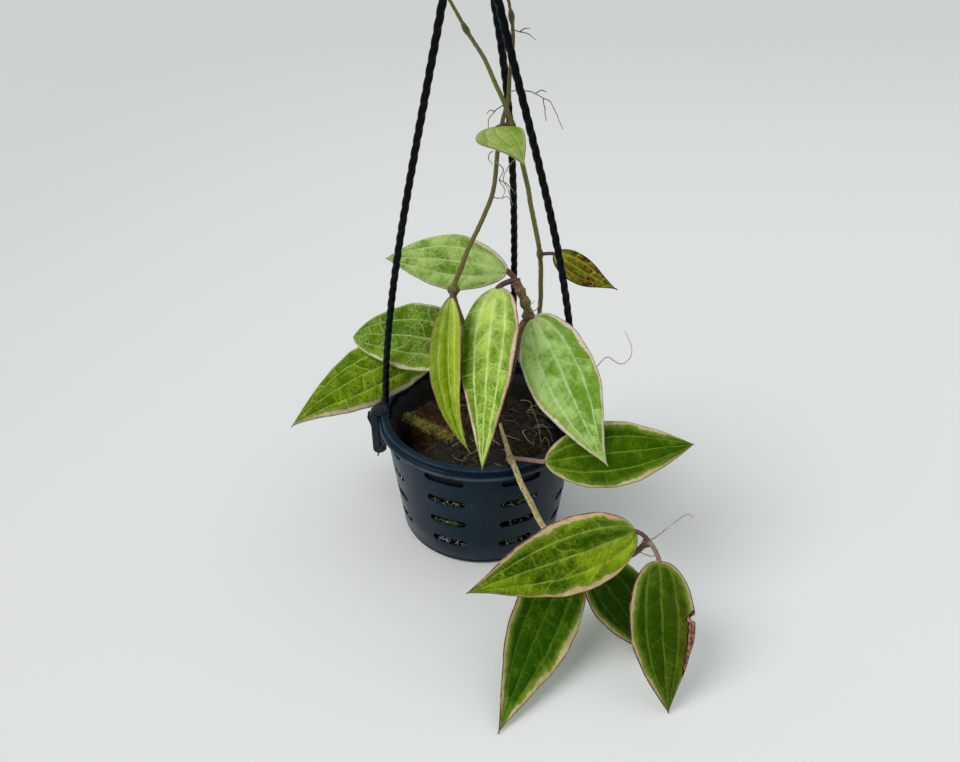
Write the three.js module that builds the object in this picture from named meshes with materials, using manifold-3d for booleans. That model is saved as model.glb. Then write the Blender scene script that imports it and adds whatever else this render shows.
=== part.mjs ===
// Potted hoya with white-edged leaves, in a slotted hanging pot.
// Millimetres, +Z up, +X to the right and +Y away from the viewer.
// The origin is the centre of the pot's underside, where it stands.

import * as THREE from "three";
import { mergeVertices } from "three/addons/utils/BufferGeometryUtils.js";
import Module from "manifold-3d";

const wasm = await Module();
wasm.setup();

// Driving dimensions of the pot
const POT_HEIGHT = 79;
const RIM_RADIUS = 59.6;
const RIM_DEPTH = 5.6;
const LIP_REACH = 0.9;
const WALL_RADIUS_AT_BASE = 49.35;
const WALL_FLARE = 0.115;
const WALL_THICKNESS = 1.7;
const FLOOR_THICKNESS = 2.2;
const FOOT_ROUNDING = 1.8;
const POT_SEGMENTS = 48;

// Slots through the pot's wall
const SLOT_HEIGHTS = [16.8, 33.5, 50.3, 67];
const SLOT_COLUMNS = 8;
const SLOT_FIRST_AZIMUTH = -66.5;
const SLOT_SPREAD = 24;
const SLOT_HEIGHT = 4.5;

// Slots through the pot's floor
const DRAIN = { count: 6, length: 16, width: 4, reach: 30 };

// Lugs on the rim and the clips that hang from them
const LUG_REACH = 66.6;
const LUG_HALF_WIDTH = 5.8;
const LUG_BOTTOM = 71;
const LUG_TOP = 77.6;
const LUG_HOLE = { inner: 61.0, outer: 65.0, halfWidth: 4.2 };
const CLIP_HALF_WIDTH = 3.8;
const CLIP_BOTTOM = 50.5;
const STRAND_DIAMETER = 3.9;
const STRAND_FOOT_REACH = 60.4;
const CLEARANCE = 0.3;

// Growing medium
const MEDIUM_TOP = 63;
const MEDIUM_GAP = 0.5;
const HUSK = { length: 38, depth: 24, bottom: 30, top: 66.5, turn: -18, at: [-29, 5.5] };

// Hook above the strands
const HUB = { at: [-5, 0], bottom: 335.5, top: 345, radius: 8 };
const HOOK = { wire: 5, radius: 11, neck: 356, centre: 376, firstAngle: -60, lastAngle: 210 };

const BLADE_THICKNESS = 1.2;
const MARGIN_THICKNESS = 0.7;
const PETIOLE_RADIUS = 1.15;
const PETIOLE_GAP = 0.45;

const COLOURS = {
  pot: 0x1d242b,
  strand: 0x14181c,
  coir: 0x3a2c1d,
  husk: 0x5a4526,
  wood: 0x6b5a3f,
  olive: 0x6f6a3c,
  brown: 0x5f4f38,
  tan: 0xa6986a,
};

function material(colour, roughness) {
  return new THREE.MeshStandardMaterial({ color: colour, roughness, metalness: 0 });
}

function radians(degrees) {
  return THREE.MathUtils.degToRad(degrees);
}

// A closed mesh as a solid that can be joined and cut
function toSolid(geometry) {
  const plain = geometry.clone();
  plain.deleteAttribute("normal");
  plain.deleteAttribute("uv");
  const merged = mergeVertices(plain, 1e-4);
  const vertProperties = new Float32Array(merged.attributes.position.array);
  const triVerts = new Uint32Array(merged.index.array);
  return new wasm.Manifold(new wasm.Mesh({ numProp: 3, vertProperties, triVerts }));
}

function toGeometry(solid) {
  const mesh = solid.getMesh();
  const geometry = new THREE.BufferGeometry();
  geometry.setAttribute("position", new THREE.BufferAttribute(mesh.vertProperties, 3));
  geometry.setIndex(new THREE.BufferAttribute(mesh.triVerts, 1));
  return geometry;
}

function namedMesh(name, geometry, look) {
  const mesh = new THREE.Mesh(geometry, look);
  mesh.name = name;
  return mesh;
}

// Outer radius of the wall at a height
function wallRadius(z) {
  return WALL_RADIUS_AT_BASE + WALL_FLARE * z;
}

function lathe(points, segments) {
  const profile = points.map(([r, z]) => new THREE.Vector2(r, z));
  return new THREE.LatheGeometry(profile, segments).rotateX(Math.PI / 2);
}

// A flat shape with round ends, as wide and high as asked
function stadium(width, height, arcSteps) {
  const half = height / 2;
  const reach = width / 2 - half;
  const points = [];
  for (const [side, start] of [[1, -90], [-1, 90]]) {
    for (let step = 0; step <= arcSteps; step += 1) {
      const angle = radians(start + (180 * step) / arcSteps);
      points.push(new THREE.Vector2(side * reach + half * Math.cos(angle), half * Math.sin(angle)));
    }
  }
  return new THREE.Shape(points);
}

// The pot's turned body: foot, wall, outturned rim with its flared lip, and the inside
function potBody() {
  const rimBottom = POT_HEIGHT - RIM_DEPTH;
  const wallTop = wallRadius(rimBottom);
  const rounding = FOOT_ROUNDING;
  return lathe([
    [0, 0],
    [wallRadius(0) - rounding, 0],
    [wallRadius(0) - 0.3 * rounding, 0.3 * rounding],
    [wallRadius(rounding), rounding],
    [wallTop, rimBottom],
    [RIM_RADIUS + LIP_REACH * 0.7, rimBottom - 0.2],
    [RIM_RADIUS + LIP_REACH, rimBottom + 0.7],
    [RIM_RADIUS, rimBottom + 1.8],
    [RIM_RADIUS, POT_HEIGHT - 0.9],
    [RIM_RADIUS - 0.9, POT_HEIGHT],
    [wallTop - 0.9, POT_HEIGHT],
    [wallTop - WALL_THICKNESS, POT_HEIGHT - 1.2],
    [wallTop - WALL_THICKNESS, rimBottom],
    [wallRadius(6) - WALL_THICKNESS, 6],
    [wallRadius(0) - rounding - 1, FLOOR_THICKNESS],
    [0, FLOOR_THICKNESS],
  ], POT_SEGMENTS);
}

// One slot cutter, pushed straight out through the wall
function slotCutter(z, azimuth) {
  const width = 2 * wallRadius(z) * Math.sin(radians(SLOT_SPREAD / 2));
  const shape = stadium(width, SLOT_HEIGHT, 4);
  const cutter = new THREE.ExtrudeGeometry(shape, { depth: 14, bevelEnabled: false, steps: 1 });
  cutter.rotateX(Math.PI / 2);
  cutter.rotateZ(Math.PI / 2);
  cutter.translate(wallRadius(z) - 9, 0, 0);
  cutter.rotateZ(radians(azimuth));
  cutter.translate(0, 0, z);
  return cutter;
}

function drainCutter(azimuth) {
  const shape = stadium(DRAIN.length, DRAIN.width, 3);
  const cutter = new THREE.ExtrudeGeometry(shape, { depth: 3 * FLOOR_THICKNESS, bevelEnabled: false });
  cutter.translate(DRAIN.reach, 0, -FLOOR_THICKNESS);
  cutter.rotateZ(radians(azimuth));
  return cutter;
}

// A lug is a small box on the rim with an upright hole for the clip
function lug(azimuth) {
  const outline = new THREE.Shape([
    new THREE.Vector2(RIM_RADIUS - 1, -LUG_HALF_WIDTH),
    new THREE.Vector2(LUG_REACH - 1.2, -LUG_HALF_WIDTH),
    new THREE.Vector2(LUG_REACH, -LUG_HALF_WIDTH + 1.2),
    new THREE.Vector2(LUG_REACH, LUG_HALF_WIDTH - 1.2),
    new THREE.Vector2(LUG_REACH - 1.2, LUG_HALF_WIDTH),
    new THREE.Vector2(RIM_RADIUS - 1, LUG_HALF_WIDTH),
  ]);
  const hole = new THREE.Path([
    new THREE.Vector2(LUG_HOLE.inner, -LUG_HOLE.halfWidth),
    new THREE.Vector2(LUG_HOLE.outer, -LUG_HOLE.halfWidth),
    new THREE.Vector2(LUG_HOLE.outer, LUG_HOLE.halfWidth),
    new THREE.Vector2(LUG_HOLE.inner, LUG_HOLE.halfWidth),
  ]);
  outline.holes.push(hole);
  const box = new THREE.ExtrudeGeometry(outline, { depth: LUG_TOP - LUG_BOTTOM, bevelEnabled: false });
  box.translate(0, 0, LUG_BOTTOM);
  box.rotateZ(radians(azimuth));
  return box;
}

// Strands from their foot on a lug to the hub, bowed outwards
const STRANDS = {
  hanger_left: { azimuth: 183, top: [-9, -3, 334.8], bow: [-3.5, -5, 0], skew: 0.8 },
  hanger_back: { azimuth: 68, top: [-4, 4, 334.55], bow: [8, 0, 0], skew: -0.5 },
  hanger_right: { azimuth: -27, top: [-2, -2, 334.7], bow: [7, 0, 0], skew: 0.85 },
};

class StrandCurve extends THREE.Curve {
  constructor(foot, top, bow, skew) {
    super();
    Object.assign(this, { foot, top, bow, skew });
  }

  getPoint(t, target = new THREE.Vector3()) {
    const bulge = 4 * t * (1 - t) * (1 + this.skew * (1 - 2 * t));
    return target.copy(this.foot).lerp(this.top, t).addScaledVector(this.bow, bulge);
  }
}

function strandCurve({ azimuth, top, bow, skew }) {
  const foot = new THREE.Vector3(STRAND_FOOT_REACH, 0, LUG_TOP + 3);
  foot.applyAxisAngle(new THREE.Vector3(0, 0, 1), radians(azimuth));
  return new StrandCurve(foot, new THREE.Vector3(...top), new THREE.Vector3(...bow), skew);
}

function tube(curve, diameter, steps, sides) {
  const section = [];
  for (let side = 0; side < sides; side += 1) {
    const angle = (2 * Math.PI * side) / sides;
    section.push(new THREE.Vector2((diameter / 2) * Math.cos(angle), (diameter / 2) * Math.sin(angle)));
  }
  const options = { steps, extrudePath: curve, bevelEnabled: false };
  return new THREE.ExtrudeGeometry(new THREE.Shape(section), options);
}

// The clip's upright profile: a long outer tongue folded back into a shorter inner one
function clip(azimuth) {
  const catchTop = LUG_BOTTOM - CLEARANCE;
  const outer = LUG_HOLE.outer - CLEARANCE;
  const inner = LUG_HOLE.inner + CLEARANCE;
  const profile = new THREE.Shape([
    [outer, CLIP_BOTTOM + 1.5],
    [outer, LUG_TOP + CLEARANCE],
    [outer + 0.6, LUG_TOP + CLEARANCE],
    [outer + 0.2, LUG_TOP + 4],
    [inner + 2.2, LUG_TOP + 6],
    [inner - 1.4, LUG_TOP + 5],
    [inner - 2.2, LUG_TOP + 1.9],
    [inner, LUG_TOP + CLEARANCE],
    [inner, CLIP_BOTTOM + 3],
    [inner - 0.5, CLIP_BOTTOM + 3],
    [inner - 0.5, catchTop],
    [inner - 2.6, catchTop],
    [inner - 2.6, CLIP_BOTTOM + 1],
    [inner - 1.6, CLIP_BOTTOM],
    [outer - 1.2, CLIP_BOTTOM],
  ].map(([r, z]) => new THREE.Vector2(r, z)));
  const body = new THREE.ExtrudeGeometry(profile, { depth: 2 * CLIP_HALF_WIDTH, bevelEnabled: false });
  body.translate(0, 0, -CLIP_HALF_WIDTH);
  body.rotateX(Math.PI / 2);
  body.rotateZ(radians(azimuth));
  return body;
}

function strand(spec) {
  const rope = tube(strandCurve(spec), STRAND_DIAMETER, 14, 8);
  return toGeometry(toSolid(rope).add(toSolid(clip(spec.azimuth))));
}

// Hub, neck and open hook, moulded in one
function hook() {
  const hub = lathe([
    [0, HUB.bottom],
    [HUB.radius - 1, HUB.bottom],
    [HUB.radius, HUB.bottom + 1],
    [HUB.radius, HUB.top - 4],
    [HOOK.wire / 2 + 1, HUB.top],
    [0, HUB.top],
  ], 20).translate(HUB.at[0], HUB.at[1], 0);
  const points = [new THREE.Vector3(0, 0, HUB.top - 2), new THREE.Vector3(0, 0, HOOK.neck)];
  for (let angle = HOOK.firstAngle; angle <= HOOK.lastAngle; angle += 30) {
    const side = HOOK.radius * Math.cos(radians(angle));
    const rise = HOOK.radius * Math.sin(radians(angle));
    points.push(new THREE.Vector3(side, 0, HOOK.centre + rise));
  }
  const middle = new THREE.Vector3(HUB.at[0], HUB.at[1], 0);
  const path = new THREE.CatmullRomCurve3(points.map((point) => point.add(middle)));
  const wire = tube(path, HOOK.wire, 28, 8);
  return toGeometry(toSolid(hub).add(toSolid(wire)));
}

// Stems: points along the middle, radius, and swollen nodes given by point number
const STEMS = {
  main_stem: {
    colour: "wood", radius: 2.1, endRadius: 1.7, sides: 8, perSpan: 2,
    points: [
      [15.5, 19, 50], [15.5, 17, 66], [18.5, 12, 97], [21.5, 5, 116.5], [23.5, -1, 134.5],
      [26, -3, 143], [24, -3, 151], [21.5, -2, 157], [18.5, -1, 163],
    ],
    nodes: { 5: 0.9, 7: 0.4, 8: 0.7 },
  },
  right_vine: {
    colour: "olive", radius: 1.45, endRadius: 0.45, sides: 7, perSpan: 2,
    points: [
      [37, 31, 50], [36.5, 28.5, 66], [35, 22, 106], [34, 18, 134.5], [34, 15, 150], [32, 10, 174],
      [27, 6, 197.5], [24, 3, 212], [21, 0, 224.5], [15, -3, 246], [8.5, -3, 261], [1, 0, 275.5],
      [-7, 3, 287], [-14.5, 5, 299], [-18.5, 6, 305.5], [-21.5, 6.5, 313],
    ],
    nodes: { 5: 0.6, 9: 0.4, 12: 0.6 },
  },
  left_vine: {
    colour: "brown", radius: 1.45, endRadius: 0.45, sides: 7, perSpan: 2,
    points: [
      [-7.5, 2, 50], [-7.5, 1, 66], [-4.5, -9, 93], [-2, -12, 113.5], [-2.5, -13, 128.5], [-10, -15, 146.5],
      [-14.5, -13, 163.5], [-10.5, -12, 175.5], [-5.5, -10, 187.5], [1.5, -6, 202], [6, -3, 214],
      [8, 1, 230.5], [10.5, 4, 246.5], [13, 4, 256], [13.5, 3, 266.5], [14.5, 1, 283],
      [13.5, 1, 292.5], [12, 1, 299.5], [10, 1, 309], [8.5, 1, 318.5],
    ],
    nodes: { 4: 0.8, 6: 1.1, 16: 0.7 },
  },
  trailing_stem: {
    colour: "tan", radius: 1.5, endRadius: 1.4, sides: 7, perSpan: 2,
    points: [
      [11, 3, 52], [11.5, 1, 66], [12.5, -21.5, 76], [14, -38.5, 81.5], [16, -52.5, 81.7],
      [18, -58.5, 80.6], [21, -65, 76], [27, -71, 65.5], [33, -78, 56.5], [41.5, -85, 48],
      [54.5, -91, 44], [66.5, -95, 48], [77, -98.5, 57.5], [83, -100, 67],
    ],
    nodes: { 4: 0.7, 10: 0.8, 13: 0.8 },
  },
};

// Leaves: where the blade starts and ends, which way its upper face looks, and its form.
// The petiole leaves the stem's node in the direction away.
const LEAVES = {
  leaf_upper_left: {
    stem: "main_stem", node: 8, away: [-0.3, 0.3, 1],
    base: [14.5, 0.5, 168], tip: [-52.5, 12, 170.5], face: [0, -0.76, 0.65],
    width: 31, arch: [6, 4.5], sway: [1.5, 2], twist: -13, peak: 0.44, round: 0.67, taper: 1, cup: -0.1, fold: 0,
  },
  leaf_middle: {
    stem: "main_stem", node: 8, away: [-1, -0.2, 0.2],
    base: [9, -7.5, 162], tip: [0.5, -70, 88.5], face: [-0.47, -0.85, 0.24],
    width: 33, arch: [9, 5.5], sway: [-0.5, -2], twist: 4, peak: 0.31, round: 0.8, taper: 0.98, cup: 0.08, fold: 0,
  },
  leaf_right: {
    stem: "main_stem", node: 5, away: [0.2, -0.8, 0.6],
    base: [28, -12.5, 147], tip: [66, -66.5, 88], face: [-0.22, -0.88, 0.42],
    width: 38, arch: [5.5, 2.5], sway: [-4.5, 3], twist: -13, peak: 0.39, round: 0.7, taper: 1.15, cup: 0.3, fold: 0,
  },
  leaf_folded: {
    stem: "left_vine", node: 6, away: [-0.3, -0.8, 0.2],
    base: [-15.5, -16.5, 161.5], tip: [-6, -49, 83.5], face: [-0.22, -0.95, 0.2],
    width: 17, arch: [3, 8], sway: [5.5, 8.5], twist: 20, peak: 0.39, round: 0.77, taper: 1.06, cup: 0, fold: 0.9,
  },
  leaf_left: {
    stem: "left_vine", node: 4, away: [-0.8, 0.5, 0],
    base: [-7, -9.5, 126], tip: [-76.5, 23.5, 115], face: [-0.07, -0.73, 0.68],
    width: 39.5, arch: [2.5, 10.5], sway: [5, 2], twist: 20, peak: 0.4, round: 0.63, taper: 0.65, cup: 0, fold: 0,
  },
  leaf_lower_left: {
    stem: "left_vine", node: 4, away: [-0.1, 0.5, -1],
    base: [-20, -1, 122], tip: [-119, 10.5, 57.5], face: [-0.15, -0.78, 0.61],
    width: 37, arch: [2.5, 5], sway: [9.5, 10.5], twist: 20, peak: 0.46, round: 0.67, taper: 1.2, cup: -0.4, fold: 0,
  },
  leaf_top: {
    stem: "right_vine", node: 9, away: [-1, 0.1, 0.3],
    base: [7.5, -5, 245], tip: [19, -39.5, 237], face: [0, -0.44, 0.9],
    width: 22.5, arch: [1.5, 6.5], sway: [6, 0.5], twist: -14, peak: 0.37, round: 0.65, taper: 1.06, cup: 0.07, fold: 0,
  },
  leaf_young: {
    stem: "right_vine", node: 5, away: [1, -0.3, 0.1],
    base: [39, 3.5, 177], tip: [75, 4, 155.5], face: [0.17, -0.87, 0.46],
    width: 16, arch: [2.5, -2], sway: [1.5, 0.5], twist: 2, peak: 0.37, round: 0.7, taper: 1.25, cup: -0.05, fold: 0,
  },
  leaf_over_rim: {
    stem: "trailing_stem", node: 4, away: [1, -0.1, 0.3],
    base: [33.5, -60, 86], tip: [113.5, -52, 91.5], face: [-0.02, -0.65, 0.76],
    width: 35.5, arch: [4, 5.5], sway: [0.5, 1], twist: -2, peak: 0.42, round: 0.73, taper: 0.97, cup: 0, fold: 0,
  },
  leaf_front: {
    stem: "trailing_stem", node: 13, away: [-0.1, 0.1, 1],
    base: [76.5, -98.5, 73], tip: [-7, -130.5, 64], face: [0.08, -0.89, 0.44],
    width: 38, arch: [1, -2.5], sway: [-2.5, 1], twist: -20, peak: 0.39, round: 0.65, taper: 1.07, cup: 0, fold: 0,
  },
  leaf_front_right: {
    stem: "trailing_stem", node: 13, away: [0.7, -0.7, 0.1],
    base: [88, -107, 61], tip: [91.5, -149.5, 1], face: [0.15, -0.85, 0.5],
    width: 33.5, arch: [6.5, 4.5], sway: [3, 3], twist: -5, peak: 0.4, round: 0.52, taper: 1.06, cup: 0.07, fold: 0,
  },
  leaf_front_middle: {
    stem: "trailing_stem", node: 10, away: [0.5, 0.6, -0.6],
    base: [59, -85, 35], tip: [88.5, -115, 2.2], face: [0.41, -0.6, 0.69],
    width: 36, arch: [1.5, 3.5], sway: [-1, 0.5], twist: 2, peak: 0.38, round: 0.63, taper: 0.95, cup: 0.27, fold: 0,
  },
  leaf_front_lower: {
    stem: "trailing_stem", node: 10, away: [-0.6, 0.6, -0.6],
    base: [48, -84, 36.5], tip: [8, -160.5, 1], face: [0.07, -0.86, 0.51],
    width: 36, arch: [2.5, 1], sway: [3.5, 2], twist: -3, peak: 0.38, round: 0.52, taper: 1.14, cup: 0.2, fold: 0,
  },
};

const LEAF_COLOURS = {
  leaf_upper_left: 0x8fae63, leaf_middle: 0x86b13e, leaf_right: 0x8db45e, leaf_folded: 0x93b22c,
  leaf_left: 0x5f8a26, leaf_lower_left: 0x4f7a1c, leaf_top: 0x8bab48, leaf_young: 0x6b5424,
  leaf_over_rim: 0x3f6b12, leaf_front: 0x4f7a14, leaf_front_right: 0x335a10,
  leaf_front_middle: 0x2c5210, leaf_front_lower: 0x2f5610,
};

const LEAF_STEPS_ALONG = 12;
const LEAF_STEPS_ACROSS = 4;

// The blade's middle line, and its side and face directions at the base
function bladeFrame(leaf) {
  const base = new THREE.Vector3(...leaf.base);
  const tip = new THREE.Vector3(...leaf.tip);
  const chord = tip.clone().sub(base);
  const along = chord.clone().normalize();
  const face = new THREE.Vector3(...leaf.face);
  face.addScaledVector(along, -face.dot(along)).normalize();
  const side = new THREE.Vector3().crossVectors(along, face);
  const first = base.clone().addScaledVector(chord, 1 / 3);
  first.addScaledVector(face, leaf.arch[0]).addScaledVector(side, leaf.sway[0]);
  const second = base.clone().addScaledVector(chord, 2 / 3);
  second.addScaledVector(face, leaf.arch[1]).addScaledVector(side, leaf.sway[1]);
  return { face, line: new THREE.CubicBezierCurve3(base, first, second, tip) };
}

// Half the blade's width at a share t of its length: round at the base, drawn out at the tip
function halfWidth(leaf, t) {
  const swing = Math.log(0.5) / Math.log(leaf.peak);
  const belly = Math.max(Math.sin(Math.PI * t ** swing), 0);
  const power = t < leaf.peak ? leaf.round : leaf.taper;
  const least = t < 0.5 ? 1 : 0.35;
  return Math.max((leaf.width / 2) * belly ** power, least);
}

// Rows of a blade stand closer together towards its base and tip
function rowShare(s) {
  return THREE.MathUtils.lerp(s, (1 - Math.cos(Math.PI * s)) / 2, 0.8);
}

// One blade as a closed sheet: upper and lower faces on the same grid, joined round the margin
function blade(leaf) {
  const { face, line } = bladeFrame(leaf);
  const columns = LEAF_STEPS_ACROSS + 1;
  const upper = [];
  const lower = [];
  for (let row = 0; row <= LEAF_STEPS_ALONG; row += 1) {
    const t = rowShare(row / LEAF_STEPS_ALONG);
    const centre = line.getPoint(t);
    const along = line.getTangent(t);
    const normal = face.clone().addScaledVector(along, -face.dot(along)).normalize();
    const side = new THREE.Vector3().crossVectors(along, normal);
    const turn = radians(leaf.twist * (t - 0.5));
    const turnedNormal = normal.clone().multiplyScalar(Math.cos(turn)).addScaledVector(side, Math.sin(turn));
    const turnedSide = side.clone().multiplyScalar(Math.cos(turn)).addScaledVector(normal, -Math.sin(turn));
    const half = halfWidth(leaf, t);
    for (let column = 0; column < columns; column += 1) {
      const u = (2 * column) / LEAF_STEPS_ACROSS - 1;
      const rise = half * (leaf.cup * u * u + leaf.fold * Math.abs(u));
      const point = centre.clone().addScaledVector(turnedSide, half * u).addScaledVector(turnedNormal, rise);
      const thickness = THREE.MathUtils.lerp(BLADE_THICKNESS, MARGIN_THICKNESS, u * u);
      upper.push(point.clone().addScaledVector(turnedNormal, thickness / 2));
      lower.push(point.clone().addScaledVector(turnedNormal, -thickness / 2));
    }
  }
  const triangles = [];
  const quad = (a, b, c, d) => triangles.push(a, c, b, a, d, c);
  const count = upper.length;
  for (let row = 0; row < LEAF_STEPS_ALONG; row += 1) {
    for (let column = 0; column < LEAF_STEPS_ACROSS; column += 1) {
      const here = row * columns + column;
      const next = here + columns;
      triangles.push(here, here + 1, next, here + 1, next + 1, next);
      triangles.push(count + here, count + next, count + here + 1);
      triangles.push(count + here + 1, count + next, count + next + 1);
    }
    const start = row * columns;
    const end = start + columns - 1;
    quad(start, count + start, count + start + columns, start + columns);
    quad(end, end + columns, count + end + columns, count + end);
  }
  const last = LEAF_STEPS_ALONG * columns;
  for (let column = 0; column < LEAF_STEPS_ACROSS; column += 1) {
    quad(column, column + 1, count + column + 1, count + column);
    quad(last + column, count + last + column, count + last + column + 1, last + column + 1);
  }
  return meshFromPoints([...upper, ...lower], triangles);
}

function meshFromPoints(points, triangles) {
  const geometry = new THREE.BufferGeometry();
  geometry.setFromPoints(points);
  geometry.setIndex(triangles);
  return geometry;
}

// A round tapering tube along a curve, one ring per radius, carried along without twisting
function taperedTube(curve, radii, sides) {
  const spans = radii.length - 1;
  const rings = [];
  let across = new THREE.Vector3(1, 0, 0);
  radii.forEach((radius, index) => {
    const point = curve.getPoint(index / spans);
    const along = curve.getTangent(index / spans);
    across = across.clone().addScaledVector(along, -across.dot(along)).normalize();
    const up = new THREE.Vector3().crossVectors(along, across);
    for (let side = 0; side < sides; side += 1) {
      const angle = (2 * Math.PI * side) / sides;
      const rim = point.clone().addScaledVector(across, radius * Math.cos(angle));
      rings.push(rim.addScaledVector(up, radius * Math.sin(angle)));
    }
  });
  const triangles = [];
  for (let ring = 0; ring < spans; ring += 1) {
    for (let side = 0; side < sides; side += 1) {
      const a = ring * sides + side;
      const b = ring * sides + ((side + 1) % sides);
      triangles.push(a, b, a + sides, b, b + sides, a + sides);
    }
  }
  const first = rings.length;
  const last = first + 1;
  const lastRing = spans * sides;
  for (let side = 0; side < sides; side += 1) {
    const next = (side + 1) % sides;
    triangles.push(first, next, side, last, lastRing + side, lastRing + next);
  }
  return meshFromPoints([...rings, curve.getPoint(0), curve.getPoint(1)], triangles);
}

// A stem as a tapering tube, swollen at its nodes
function stemTube(stem, widening) {
  const corners = stem.points.map((point) => new THREE.Vector3(...point));
  corners[0].z -= widening;
  const curve = new THREE.CatmullRomCurve3(corners, false, "centripetal");
  const spans = corners.length - 1;
  const steps = spans * stem.perSpan;
  const radii = [];
  for (let step = 0; step <= steps; step += 1) {
    const swollen = step % stem.perSpan === 0 ? stem.nodes[step / stem.perSpan] ?? 0 : 0;
    const plain = THREE.MathUtils.lerp(stem.radius, stem.endRadius, (step / steps) ** 3);
    radii.push(plain + swollen + widening);
  }
  return taperedTube(curve, radii, stem.sides);
}

// The petiole bends from the stem's node into line with the blade and stops just short of it
function petiole(leaf) {
  const node = new THREE.Vector3(...STEMS[leaf.stem].points[leaf.node]);
  const { line } = bladeFrame(leaf);
  const heading = line.getTangent(0);
  const end = line.getPoint(0).addScaledVector(heading, -PETIOLE_GAP);
  const reach = end.distanceTo(node) / 3;
  const away = new THREE.Vector3(...leaf.away).normalize();
  const leaving = node.clone().addScaledVector(away, reach);
  const arriving = end.clone().addScaledVector(heading, -reach);
  const curve = new THREE.CubicBezierCurve3(node, leaving, arriving, end);
  const steps = Math.max(Math.round(reach * 0.9), 5);
  const radii = [];
  for (let step = 0; step <= steps; step += 1) {
    radii.push(PETIOLE_RADIUS * (1 - (0.2 * step) / steps));
  }
  return taperedTube(curve, radii, 6);
}

function stemWithPetioles(name) {
  let solid = toSolid(stemTube(STEMS[name], 0));
  for (const leaf of Object.values(LEAVES)) {
    if (leaf.stem === name) {
      solid = solid.add(toSolid(petiole(leaf)));
    }
  }
  return toGeometry(solid);
}

// The block of husk: a box with cut corners, turned a little
function huskBlock(margin) {
  const halfLength = HUSK.length / 2 + margin;
  const halfDepth = HUSK.depth / 2 + margin;
  const corner = 4;
  const outline = new THREE.Shape([
    [halfLength - corner, -halfDepth], [halfLength, -halfDepth + corner],
    [halfLength, halfDepth - corner], [halfLength - corner, halfDepth],
    [-halfLength + corner, halfDepth], [-halfLength, halfDepth - corner],
    [-halfLength, -halfDepth + corner], [-halfLength + corner, -halfDepth],
  ].map(([x, y]) => new THREE.Vector2(x, y)));
  const height = HUSK.top - HUSK.bottom + margin;
  const block = new THREE.ExtrudeGeometry(outline, { depth: height + margin, bevelEnabled: false });
  block.rotateZ(radians(HUSK.turn));
  block.translate(HUSK.at[0], HUSK.at[1], HUSK.bottom - margin);
  return block;
}

// The coir fills the pot, heaped in the middle, with a pocket for the husk and a hole for each stem
function coir() {
  const reach = (z) => wallRadius(z) - WALL_THICKNESS - MEDIUM_GAP;
  const fill = lathe([
    [0, FLOOR_THICKNESS + CLEARANCE],
    [wallRadius(0) - FOOT_ROUNDING - 2.2, FLOOR_THICKNESS + CLEARANCE],
    [reach(7) - 0.6, 7],
    [reach(MEDIUM_TOP - 7), MEDIUM_TOP - 7],
    [reach(MEDIUM_TOP - 4) - 6, MEDIUM_TOP - 3],
    [38, MEDIUM_TOP],
    [18, MEDIUM_TOP + 1.6],
    [0, MEDIUM_TOP + 2],
  ], 32);
  let solid = toSolid(fill).subtract(toSolid(huskBlock(CLEARANCE)));
  for (const stem of Object.values(STEMS)) {
    solid = solid.subtract(toSolid(stemTube(stem, CLEARANCE + 0.1)));
  }
  return toGeometry(solid);
}

function pot() {
  let solid = toSolid(potBody());
  for (let column = 0; column < SLOT_COLUMNS; column += 1) {
    for (const z of SLOT_HEIGHTS) {
      solid = solid.subtract(toSolid(slotCutter(z, SLOT_FIRST_AZIMUTH + (360 * column) / SLOT_COLUMNS)));
    }
  }
  for (let drain = 0; drain < DRAIN.count; drain += 1) {
    solid = solid.subtract(toSolid(drainCutter((360 * drain) / DRAIN.count)));
  }
  for (const { azimuth } of Object.values(STRANDS)) {
    solid = solid.add(toSolid(lug(azimuth)));
  }
  return toGeometry(solid);
}

const plant = new THREE.Group();
plant.add(namedMesh("pot", pot(), material(COLOURS.pot, 0.42)));
plant.add(namedMesh("coir_mix", coir(), material(COLOURS.coir, 0.95)));
plant.add(namedMesh("husk_block", huskBlock(0), material(COLOURS.husk, 0.95)));
for (const [name, spec] of Object.entries(STRANDS)) {
  plant.add(namedMesh(name, strand(spec), material(COLOURS.strand, 0.5)));
}
plant.add(namedMesh("hanger_hook", hook(), material(COLOURS.strand, 0.45)));
for (const name of Object.keys(STEMS)) {
  plant.add(namedMesh(name, stemWithPetioles(name), material(COLOURS[STEMS[name].colour], 0.75)));
}
for (const [name, leaf] of Object.entries(LEAVES)) {
  plant.add(namedMesh(name, blade(leaf), material(LEAF_COLOURS[name], 0.45)));
}

export default plant;
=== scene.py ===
# %% [markdown]
# # A potted hoya with cream-edged leaves
#
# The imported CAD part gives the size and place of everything: a slotted pot, its hanger, the growing
# mix, four stems and thirteen leaves. This lesson dresses that part. Every shape is worked out with
# numpy in millimetres and put into a mesh in metres, and every finish is made of shader nodes.

import math

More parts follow.
